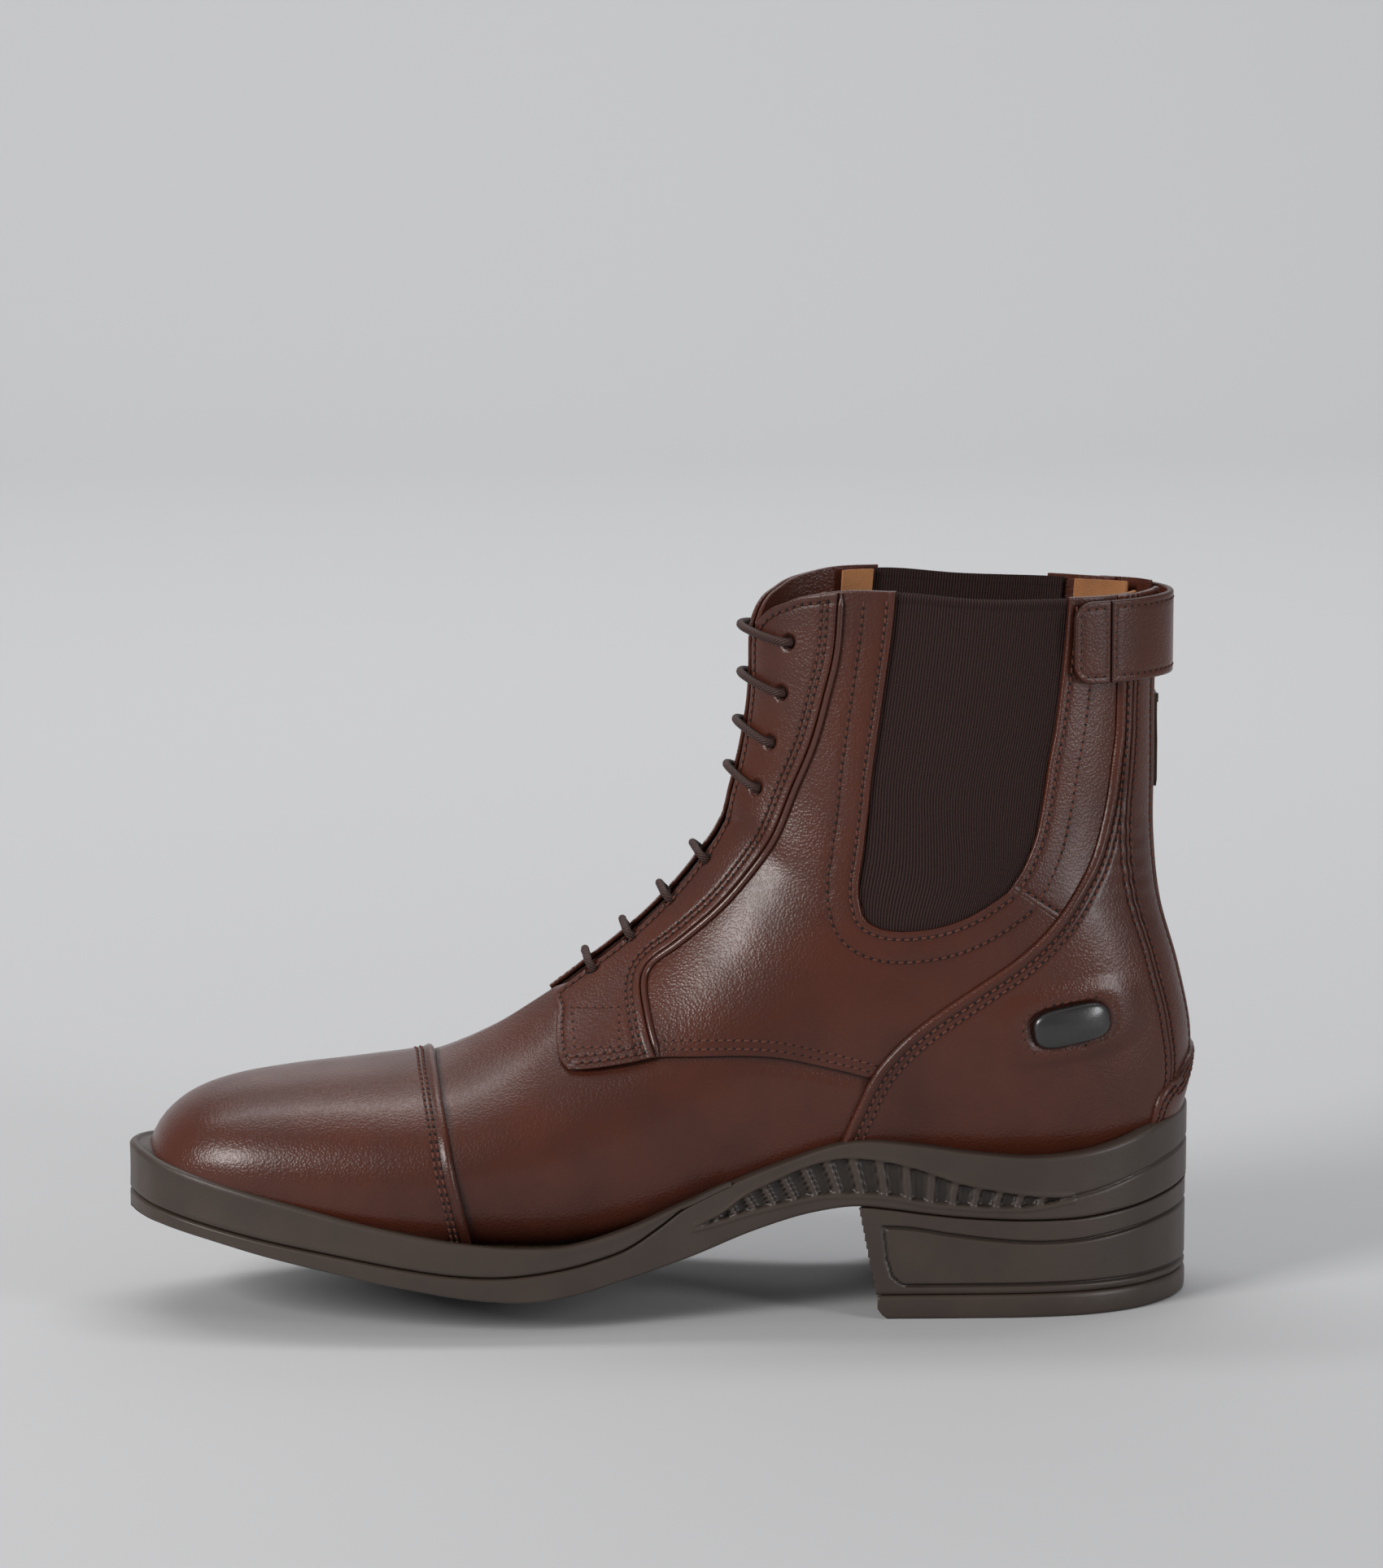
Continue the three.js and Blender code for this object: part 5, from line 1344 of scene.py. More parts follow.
        def shade(p: Array) -> Array:
            """Painted shade in the groove round the spur rest."""
            return np.where(p[..., 1] * self.side.value > 0, 0.95 * hump(spur.radius(p), 1.03, 0.1), 0.0)

        name = self.side.named("counter_cover")
        Panel(
            name, low, high, left, right,
            {"left": EdgeKind.FOLD, **cut("right", "high")}, step=1.1, relief=relief, shade=shade,
            rows=(("left", 3.2), ("left", 5.2), ("right", 1.8)),
        ).make(seams, (name,))
        seams.sew(spur.outline(1.27, 60), OVER_OUT + 0.6)

    def ripples(self, p: Array) -> Array:
        """Small pulls across the back strip's seam: a sine wave up the boot that fades off the seam."""
        half = np.interp(p[..., 2], *zip(*STRIP_HALF))
        near = hump(np.abs(p[..., 1]), half, 5.0) * hump(p[..., 2], 121.0, 17.0)
        return 0.16 * np.sin(p[..., 2] * 1.15) * near * (p[..., 0] > 60)

    def back_strip(self, seams: Seams) -> None:
        """The strip beside the zip, from under the heel patch to the top line."""
        name = self.side.named("back_strip")
        left = strip_edge(self.side, 16.9)
        t = np.linspace(16.9, 24.9, 90)
        height = LAST.point(t, np.full(len(t), 0.1 * self.side.value))[:, 2]
        slot = ZIP_HALF * ease(height, ZIP_FOOT - 3, ZIP_FOOT + 3) + 0.15
        right = cut_at_top(LAST.beside_middle(t, slot, self.side, front=False))
        low = straight(left[0], right[0])
        high = top_between(left[-1], right[-1], 14)
        Panel(
            name, low, high, left, right,
            {"left": EdgeKind.CUT, "right": EdgeKind.FOLD, "high": EdgeKind.CUT}, step=1.3,
            relief=self.ripples, rows=(("left", 1.6), ("right", 3.4)),
        ).make(seams, (name,))

    def make(self) -> None:
        """Makes every piece of this side."""
        seams = Seams(self.side.named("shaft_seams"))
        spur = SpurRest(self.side)
        self.quarter(seams)
        self.gusset_strip(seams)
        self.elastic()
        self.facing(seams)
        self.counter_cover(seams, spur)
        self.back_strip(seams)
        spur.make()
        seams.make()


class RibbonPanel(Panel):
    """A panel whose left and right lines are already paired point by point, so it is ruled between them."""

    def __init__(self, name: str, outer_line: Array, inner_line: Array, low: Array, high: Array,
                 kinds: dict[str, EdgeKind], **values: object) -> None:
        """Keeps the pairs and builds the panel."""
        self.pairs = (outer_line, inner_line)
        super().__init__(name, low, high, outer_line, inner_line, kinds, **values)

    def __post_init__(self) -> None:
        """Lays the ruled net, then the top row on the top line, and measures the edges."""
        lines = self.pairs
        lengths = arc_lengths(LAST.point(lines[0][:, 0], lines[0][:, 1]))
        v = spread(lengths[-1], self.step)
        left, right = (resample(line, lengths / lengths[-1], v)[:, None] for line in lines)
        ends = (LAST.point(line[:, 0, 0], line[:, 0, 1]) for line in (left, right))
        widest = float(np.linalg.norm(next(ends) - next(ends), axis=1).max())
        u = spread(widest, self.step)[None, :, None]
        self.net = left + (right - left) * u
        drop = 1 - ease(np.arange(len(v)), 0, 14)[:, None]
        row = self.net[0].copy()
        row[:, 0] = top_t(row[:, 1])
        self.net[..., 0] += (row[:, 0] - self.net[0, :, 0])[None] * drop
        self.measure()


@dataclass
class SpurRest:
    """The rubber rest for a spur on the heel cover: a rounded oblong block."""

    side: Side
    centre: tuple[float, float] = (110.0, 81.5)
    half: tuple[float, float] = (10.25, 5.2)
    tilt: float = math.radians(9)
    proud: float = 2.2
    square: float = 3.2

    def radius(self, p: Array) -> Array:
        """How many times the block's size a point is from its centre, in the side view."""
        x, z = p[..., 0] - self.centre[0], p[..., 2] - self.centre[1]
        a = (x * math.cos(self.tilt) + z * math.sin(self.tilt)) / self.half[0]
        b = (z * math.cos(self.tilt) - x * math.sin(self.tilt)) / self.half[1]
        return (np.abs(a) ** self.square + np.abs(b) ** self.square) ** (1 / self.square)

    def outline(self, scale: float, count: int) -> Array:
        """A rounded oblong round the centre, scaled, as rows of section and angle."""
        turn = np.linspace(0, 2 * math.pi, count)
        c, s = np.cos(turn), np.sin(turn)
        a = self.half[0] * scale * np.sign(c) * np.abs(c) ** (2 / self.square)
        b = self.half[1] * scale * np.sign(s) * np.abs(s) ** (2 / self.square)
        x = self.centre[0] + a * math.cos(self.tilt) - b * math.sin(self.tilt)
        z = self.centre[1] + a * math.sin(self.tilt) + b * math.cos(self.tilt)
        return LAST.locate(np.stack([x, z], -1), self.side)

    def make(self) -> None:
        """Makes the block: rings from its foot over a rounded edge to its middle; the groove round it is sunk
        in the heel cover.
        """
        rings = []
        for scale, height in (
            (1.0, 0.2), (1.0, 0.8), (0.985, 1.2), (0.95, 1.6), (0.90, 1.88), (0.83, 2.12), (0.72, 2.38),
            (0.58, 2.64), (0.4, 2.85), (0.2, 2.97), (0.04, 3.0),
        ):
            line = self.outline(scale, 73)[:-1]
            rings.append(LAST.point(line[:, 0], line[:, 1], OVER_OUT + height / 2.2 * self.proud))
        name = self.side.named("spur_rest")
        piece = new_mesh(name, *ring_body(np.array(rings)))
        settle(piece, WARDROBE[Look.SPUR], "root", (name,))


@dataclass
class HeelPatch:
    """The patch over the foot of the back seam."""

    corner: tuple[float, float] = (141.0, 63.6)
    peak: float = 70.0

    def make(self) -> None:
        """Makes the patch and its three rows of stitches."""
        seams = Seams("heel_patch_seams")
        line = [(131.6, 41.0), (133.0, 50.0), (134.6, 57.0), (137.0, 60.6), self.corner]
        sides = [LAST.seam(line, side) for side in Side]
        t_peak = float(where(np.array([0.001]), lambda p: p[..., 2] < self.peak, 15.0, 20.0)[0])
        u = np.linspace(-1, 1, 41)
        end = sides[0][-1]
        high = np.stack([end[0] + (t_peak - end[0]) * (1 - np.abs(u) ** 2.2), u * abs(end[1])], -1)
        low_end = sides[0][0]
        low = np.stack([np.full(41, 16.0) + (low_end[0] - 16.0) * u**2, u * abs(low_end[1])], -1)
        Panel("heel_patch", low, high, sides[0], sides[1],
              cut("high", "left", "right"), outer=PATCH_OUT, inner=PATCH_IN - 1.6, step=1.4, rows=(
                  ("high", 1.5), ("high", 3.4), ("high", 5.2), ("left", 1.5), ("right", 1.5), ("left", 3.4),
                  ("right", 3.4),
              )).make(seams, ("heel_patch",))
        seams.make()


# ------------------------------------------------------------------ sole
PLAN = (
    (-146.2, 4.0, 4.0), (-144.0, 11.5, 11.0), (-139.5, 19.5, 18.5), (-130.0, 27.5, 27.0),
    (-115.0, 34.5, 35.5), (-95.0, 40.0, 43.0), (-75.0, 44.0, 48.0), (-55.0, 46.0, 51.0),
    (-32.0, 45.2, 51.5), (-10.0, 41.5, 48.0), (12.0, 37.5, 44.0), (34.0, 35.2, 40.0), (56.0, 35.0, 37.5),
    (78.0, 36.0, 37.0), (99.0, 36.6, 36.8), (116.0, 34.6, 34.8), (130.0, 28.5, 28.5), (140.0, 19.0, 19.0),
    (145.0, 10.5, 10.5), (147.0, 4.0, 4.0),
)
RIM = (
    (-146, 46.5), (-128, 42), (-105, 36.3), (-83, 30.8), (-59, 26.2), (-41, 24.3), (-27, 24.6), (-12, 28.2),
    (4, 34.4), (17.4, 39.3), (31, 44.4), (51, 50), (69, 48.7), (84.5, 46.4), (102.5, 45.1), (118.6, 46.5),
    (131, 49.2), (140, 51.8), (147, 53.5),
)
GROOVE = (
    (-146, 33), (-133.7, 30.2), (-108, 24.8), (-90, 21.6), (-73, 18.6), (-60, 16.8), (-47, 16.1),
    (-33.6, 17.2), (-22, 19.4), (-11, 23), (-3, 28), (5, 33.6), (12, 37.0), (20, 40.2),
)
BOTTOM = (
    (-146, 28.4), (-127, 24.8), (-109, 20.6), (-94, 17.4), (-72, 13), (-50, 9.6), (-41, 9), (-28, 10.2),
    (-14, 13.6), (6, 19.4), (24, 26), (40, 30.4), (52, 31.8), (61, 30.9), (71, 29.5), (80, 28.5), (90, 27.8),
    (104, 27.4), (114, 27.6), (124, 28.6), (135, 30.2), (147, 32.4),
)
RIB_TOP = (
    (7.4, 27.8), (14.9, 31.5), (20.5, 35.5), (29.3, 39.7), (37.4, 43.1), (46.8, 45.3), (57.3, 44.7),
    (66.7, 42.6), (80.3, 37.9), (90.2, 35.8), (100.8, 34.1), (110, 33.5),
)
RIB_FOOT = (
    (7.4, 27.8), (13.1, 29), (21.2, 31.2), (31.8, 33.4), (41.2, 35.2), (53.4, 35.4), (60.7, 34.8),
    (70.6, 32.9), (80.4, 31.8), (90.2, 31.2), (100.8, 31.4), (110, 33),
)
HEEL_GROOVE = ((108, 33.2), (118.9, 35.2), (131.1, 38.7), (138.9, 41), (147.5, 43.4))
PANEL_TOP = ((59.2, 25.9), (66.1, 25.5), (77.3, 23.7), (90.3, 22), (103.6, 21.1), (113.7, 21.4), (124, 22.5),
             (135, 24.1), (147.5, 25.9))


def height(line: Line, x: Array) -> Array:
    """Height of a side line at each x."""
    xs, zs = (np.array(column, float) for column in zip(*line))
    return smooth_at(x, xs, zs)


@dataclass
class Sole:
    """Welt, outsole with its ribbed waist, heel block and top piece."""

    drop: float = 9.1
    ball: float = -43.0
    reach: float = 62.0
    lift: float = 6.6
    gap: float = 0.3
    breast: tuple[float, float] = (58.5, 6.5)  # x at the ground, and how far it leans forward over 28 mm
    welt_end: float = 16.5
    rib: float = 6.4  # from one rib of the waist to the next
    cleat: float = 12.5  # from one groove of the tread to the next

    def outline(self, count: int) -> tuple[Array, Array]:
        """The sole's outline in plan, from the back of the heel round the lateral side to the toe and back.

        Args:
            count: Number of points.

        Returns:
            Points, and the outward normals, as rows of x, y.
        """
        rows = np.array(PLAN)
        lateral, medial = rows[::-1, [0, 2]], rows[:, [0, 1]] * [1, -1]
        ring = np.concatenate([[[147.45, 0.0]], lateral, [[-146.6, 0.0]], medial, [[147.45, 0.0]]])
        fine = dense(ring, 12)
        lengths = arc_lengths(fine)
        points = resample(fine, lengths, np.linspace(0, lengths[-1], count + 1))[:-1]
        run = np.roll(points, -1, 0) - np.roll(points, 1, 0)
        normal = np.stack([-run[:, 1], run[:, 0]], -1)
        normal /= np.linalg.norm(normal, axis=1, keepdims=True)
        return points, normal * np.sign((normal * points).sum(1).mean())

    def tread(self, x: Array) -> Array:
        """How far the middle of the tread hangs below the sole's lower edge."""
        return self.drop * np.clip(1 - ((x - self.ball) / self.reach) ** 2, 0, 1)

    def waist_relief(self, x: Array, z: Array) -> Array:
        """Relief of the side wall: the ribbed panel of the waist, its border, and the heel's groove."""
        top, foot = height(RIB_TOP, x), height(RIB_FOOT, x)
        inside = np.minimum(np.minimum(top - z, z - foot), np.minimum(x - 7.4, 110 - x) * 0.35)
        panel = ease(inside, 0.0, 0.5)
        slant = x + (z - 36) * (0.8 - (x - 12) * 0.014)
        rib = 0.5 + 0.5 * np.sin(slant * 2 * math.pi / self.rib)
        relief = panel * (-2.0 + 1.75 * ease(rib, 0.55, 0.85))
        border = 0.35 * hump(inside, -0.7, 0.5) * ((x > 6) & (x < 112))
        groove = -0.9 * hump(z, height(HEEL_GROOVE, x), 0.42) * ease(x, 107, 111)
        return relief + border + groove

    def shell(self, outline: Array, normal: Array, rows: Sequence[tuple[float, Array]]) -> Array:
        """Rings of points at insets from the outline and heights."""
        shift = [normal * np.reshape(inset, (-1, 1)) for inset, z in rows]
        return np.array([np.column_stack([outline - s, z]) for s, (inset, z) in zip(shift, rows)])

    def split(self, x: Array) -> Array:
        """Height of the line between welt and outsole; behind the welt it is the rim."""
        return np.where(x < self.welt_end, height(GROOVE, x), height(RIM, x))

    def outsole(self) -> None:
        """The outsole: tread, lower edge, side wall with its relief, and the seat inside the rim."""
        outline, normal = self.outline(1040)
        x, y = outline.T
        low, top = height(BOTTOM, x), self.split(x)
        drop = self.tread(x)
        middle = np.interp(x, [r[0] for r in PLAN], [(r[2] - r[1]) / 2 for r in PLAN])

        def inward(share: float, z: Array) -> Array:
            """The outline shrunk towards the middle line to a share of its width, at heights."""
            return np.column_stack([x, middle + (y - middle) * share, z])

        def cleats(share: float) -> Array:
            """How deep the grooves across the tread are at each point of the outline shrunk to a share."""
            place_x = (x + 104.0) / self.cleat
            inside = (place_x > -0.2) & (place_x < 8.0) & (share < 0.7)
            phase = (place_x - np.floor(place_x)) * self.cleat
            return np.where(inside, 1.5 * (1 - ease(np.abs(phase - 1.5), 1.2, 1.9)), 0.0)

        rows = [inward(s, np.maximum(low - drop * k, 0.0) + cleats(s)) for s, k in (
            (0.02, 1.0), (0.15, 0.97), (0.3, 0.8), (0.45, 0.6), (0.6, 0.42), (0.72, 0.28), (0.82, 0.17),
            (0.9, 0.08))]
        rows += list(self.shell(outline, normal, ((1.5, low + 0.02), (0.7, low + 0.12), (0.2, low + 0.5))))
        for share in np.linspace(0.0, 1.0, 44)[1:-1]:
            z = low + 0.5 + (top - low - 1.1) * share
            rows.append(np.column_stack([outline + normal * self.waist_relief(x, z)[:, None], z]))
        rows += list(self.shell(outline, normal, (
            (0.15, top - 0.45), (0.5, top - 0.15), (1.0, top), (4.0, top + 0.1), (8.0, top - 4.0),
            (14.0, top - 6.0))))
        rings = np.array(rows)
        # painted shade in the recesses of the ribbed waist panel and in the heel's groove
        painted_shade = 0.8 * ease(-self.waist_relief(rings[..., 0], rings[..., 2]), 0.5, 1.6)
        painted_shade[:18] = painted_shade[-7:] = 0.0  # only the side wall has shaded recesses
        self.finish("outsole", rings, ("outsole",), painted_shade)

    def finish(self, name: str, rings: Array, nodes: Sequence[str],
               painted_shade: Array | None = None) -> None:
        """Makes a closed body of rings a rubber piece, darker by painted shade where its painted_shade values
        rise to 1.
        """
        piece = new_mesh(name, *ring_body(rings))
        if painted_shade is not None:
            paint(piece, "seam", np.concatenate([painted_shade.ravel(), [0.0, 0.0]]))
        settle(piece, WARDROBE[Look.RUBBER], "root", nodes)

    def welt(self) -> None:
        """The welt: a band round the forefoot above the groove, with a rounded lip against the leather."""
        outline, normal = self.outline(1040)
        inside = outline[:, 0] < self.welt_end + 1.0
        first = int(np.argmax(inside))
        last = len(inside) - int(np.argmax(inside[::-1]))
        outline, normal = outline[first:last], normal[first:last]
        x = outline[:, 0]
        low, top = height(GROOVE, x) + 0.25, height(RIM, x)
        top = np.maximum(top, low + 0.5)
        wall = [(1.7, low), (0.9, low + 0.05), (0.35, low + 0.35)]
        share = np.linspace(0, 1, 12)
        wall += [(0.10 * math.sin(math.pi * s), low + 0.8 + (top - low - 1.8) * s) for s in share]
        wall += [(0.16, top - 0.75), (0.42, top - 0.42), (0.85, top - 0.16), (1.35, top), (1.8, top - 0.05),
                 (2.3, top - 0.45), (2.8, top - 0.9)]
        wall += [(5.0, top - 0.6), (8.0, top - 2.0)]
        outer = self.shell(outline, normal, wall)
        inner = outer.copy()
        shift = np.minimum(np.linspace(9.0, 1.0, len(wall)), 6.0)[:, None]
        inner[..., :2] -= normal[None] * shift[..., None]
        inner[..., 2] = np.clip(inner[..., 2], (low + 0.2)[None], (top - 1.4)[None])
        piece = new_mesh("welt", *closed_sheet(outer, inner))
        settle(piece, WARDROBE[Look.RUBBER], "root", ("welt",))

    def heel_outline(self, x_front: float) -> tuple[Array, Array]:
        """The heel's D-shaped outline behind its breast at x_front, as points and normals."""
        outline, normal = self.outline(1500)
        count, half = 560, 373  # points in all, and on the curve
        behind = outline[:, 0] > x_front
        order = np.argsort(np.arctan2(outline[behind, 1], outline[behind, 0] - x_front - 10))
        curve, turned = outline[behind][order], normal[behind][order]
        lengths = arc_lengths(curve)
        spots = np.linspace(0, lengths[-1], half)
        curve, turned = resample(curve, lengths, spots), resample(turned, lengths, spots)
        share = np.linspace(0, 1, count - half + 2)[1:-1, None]
        chord = curve[-1] + (curve[0] - curve[-1]) * share
        chord[:, 0] += 2.6 * (1 - (2 * share[:, 0] - 1) ** 2) ** 0.7
        for line in (curve, chord):
            line[:, 0] += 0.085 * (line[:, 1] + 36) * np.clip(1 - (line[:, 0] - x_front) / 30, 0, 1)
        edge = np.exp(-np.minimum(share, 1 - share) / 0.03)
        front = np.array([[-1.0, 0.0]]) * (1 - edge) + np.where(share < 0.5, turned[-1:], turned[:1]) * edge
        points, normals = np.concatenate([curve, chord]), np.concatenate([turned, front])
        return points, normals / np.linalg.norm(normals, axis=1, keepdims=True)

    def front_at(self, z: float) -> float:
        """Where the heel's breast is at a height."""
        return self.breast[0] - self.breast[1] * z / 28.0

    def heel(self) -> None:
        """The heel block with its inset panel, and the top piece under it."""
        rows, painted_groove_shade = [], []
        for share in np.concatenate([[0.0, 0.0, 0.012, 0.03], np.linspace(0.05, 0.97, 76), [1.0, 1.0]]):
            z_mean = self.lift + self.gap + 21.0 * share
            points, normals = self.heel_outline(self.front_at(z_mean))
            x = points[:, 0]
            z = self.lift + self.gap + (height(BOTTOM, x) - self.gap - self.lift - self.gap) * share
            left = np.interp(z, [9.0, 10.2, 12.1, 16.7, 25.0], [66.0, 63.5, 61.5, 60.1, 59.2])
            panel = np.minimum(np.minimum(height(PANEL_TOP, x) - z, z - 9.4), x - left)
            line = hump(panel, 0.0, 0.42) * ease(np.abs(points[:, 1]) + (x > 100) * 40, 8, 20)
            corner = 0.5 * (1 - ease(np.array([share * 20]), 0, 0.7))[0]
            inset = 1.1 * line + 0.25 + corner
            rows.append(np.column_stack([points - normals * inset[:, None], z]))
            # painted shade in the groove round the heel's inset panel
            painted_groove_shade.append(0.85 * line)
        rows[0][:, :2] = rows[0][:, :2] * 0.5 + rows[0][:, :2].mean(0) * 0.5
        self.finish("heel_block", np.array(rows), ("heel_block",), np.array(painted_groove_shade))
        rows = []
        for inset, z in ((20.0, 0.0), (1.3, 0.0), (0.7, 0.12), (0.3, 0.5), (0.18, 1.2), (0.12, 3.0),
                         (0.12, 5.2), (0.3, 6.1), (0.8, self.lift), (20.0, self.lift)):
            points, normals = self.heel_outline(57.4 + 2.4 * (1 - min(z, 2.5) / 2.5))
            centre = points.mean(0)
            ring = points - normals * inset if inset < 10 else centre + (points - centre) * 0.3
            rows.append(np.column_stack([ring, np.full(len(ring), z)]))
        self.finish("heel_lift", np.array(rows), ("heel_lift",))

    def make(self) -> None:
        """Makes the four pieces of the sole."""
        self.welt()
        self.outsole()
        self.heel()


# ------------------------------------------------------------------ lace
@dataclass
class Lace:
    """One braided lace: straight bars over the throat, and runs behind the facings to the row after next."""

    order: tuple[tuple[int, int], ...] = (
        (7, -1), (7, 1), (5, 1), (5, -1), (3, -1), (3, 1), (1, 1), (1, -1), (2, -1), (2, 1), (4, 1), (4, -1),
        (6, -1), (6, 1), (8, 1), (8, -1),
    )
    width: float = 2.2
    inside: float = -3.6
    outside: float = 3.1
    bend: float = 1.6
    swerve: float = 2.7
    tail: float = 0.6

    def __post_init__(self) -> None:
        """Finds the holes: for each side their rows of section and angle."""
        self.holes = {side.value: LAST.locate(np.array(EYELETS), side) for side in Side}

    def hole(self, row: int, sign: int) -> Array:
        """Section and angle of a hole."""
        return self.holes[sign][row - 1]

    def bar(self, start: Array, end: Array) -> Array:
        """The bar over the throat between two facing holes, flatter over the middle than the surface."""
        first = abs(start[1])
        u = np.array([0.14, 0.32, 0.5, 0.68, 0.86])
        angle = first + (2 * math.pi - abs(end[1]) - first) * u
        t = start[0] + (end[0] - start[0]) * u
        return LAST.point(t, math.copysign(1, start[1]) * angle, self.outside)

    def run(self, start: Array, end: Array, swerve: float, share: float = 1.0) -> Array:
        """A run behind the facing, which passes the hole between by a swerve."""
        u = np.array([0.25, 0.5, 0.75])
        u = u[u < share]
        t, a = (start[k] + (end[k] - start[k]) * u for k in (0, 1))
        here = LAST.point(t, a, self.inside)
        away = LAST.point(t, a + math.copysign(0.05, start[1]), self.inside) - here
        away /= np.linalg.norm(away, axis=1, keepdims=True)
        return here + away * (swerve * np.sin(math.pi * u))[:, None]

    def passage(self, hole: Array, inner: Array, outer: Array) -> Array:
        """The way out through a hole, its corners cut towards where it comes from and where it goes."""
        foot = LAST.point(hole[0], hole[1])
        out = LAST.axes(hole[0], hole[1])[2]

        def flat(p: Array) -> Array:
            """The way from the hole to a point, along the leather."""
            way = p - foot
            way = way - out * np.dot(way, out)
            return way / np.linalg.norm(way)

        return np.array([
            foot + out * self.inside + flat(inner) * self.bend, foot + out * (self.inside + self.bend),
            foot + out * (self.outside - self.bend), foot + out * self.outside + flat(outer) * self.bend,
        ])

    def route(self) -> Array:
        """The lace's whole route, end to end."""
        holes = [self.hole(*spot) for spot in self.order]
        stretches = []
        for i, (start, end) in enumerate(zip(holes, holes[1:])):
            row, after = self.order[i][0], self.order[i + 1][0]
            swerve = 0.0 if abs(after - row) == 1 else (-self.swerve if row % 2 else self.swerve)
            stretches.append(self.bar(start, end) if i % 2 == 0 else self.run(start, end, swerve))
        first = self.run(holes[0], self.hole(6, -1), -self.swerve, self.tail)[::-1]
        last = self.run(holes[-1], self.hole(7, -1), -self.swerve, self.tail)
        points = [first]
        for i, hole in enumerate(holes):
            before = stretches[i - 1] if i else first
            after = stretches[i] if i < len(stretches) else last
            way = self.passage(hole, before[-1], after[0]) if i % 2 == 0 else self.passage(
                hole, after[0], before[-1])[::-1]
            points += [way, after]
        return np.concatenate(points)

    def make(self) -> None:
        """Sweeps the braid along the route; the UV map runs in millimetres, turned so that strands cross."""
        path = dense(self.route(), 7)
        lengths = arc_lengths(path)
        path = resample(path, lengths, np.linspace(0, lengths[-1], int(lengths[-1] / 0.42)))
        run = arc_lengths(path)
        sides = 16
        rings = sweep(path, self.width / 2, sides)
        turn = np.arange(sides) * 2 * math.pi / sides
        strands = np.cos(4 * turn[None] + run[:, None] * 2.1) * np.cos(4 * turn[None] - run[:, None] * 2.1)
        centre = path[:, None]
        rings = centre + (rings - centre) * (1 + 0.045 * strands[..., None])
        piece = new_mesh("lace", *ring_body(rings))
        around = turn * self.width / 2
        flat = np.stack([run[:, None] + around[None], run[:, None] - around[None]], -1).reshape(-1, 2)
        lay_uv(piece, np.concatenate([flat, flat[[0, -1]]]))
        settle(piece, WARDROBE[Look.LACE], "root", ("lace",))


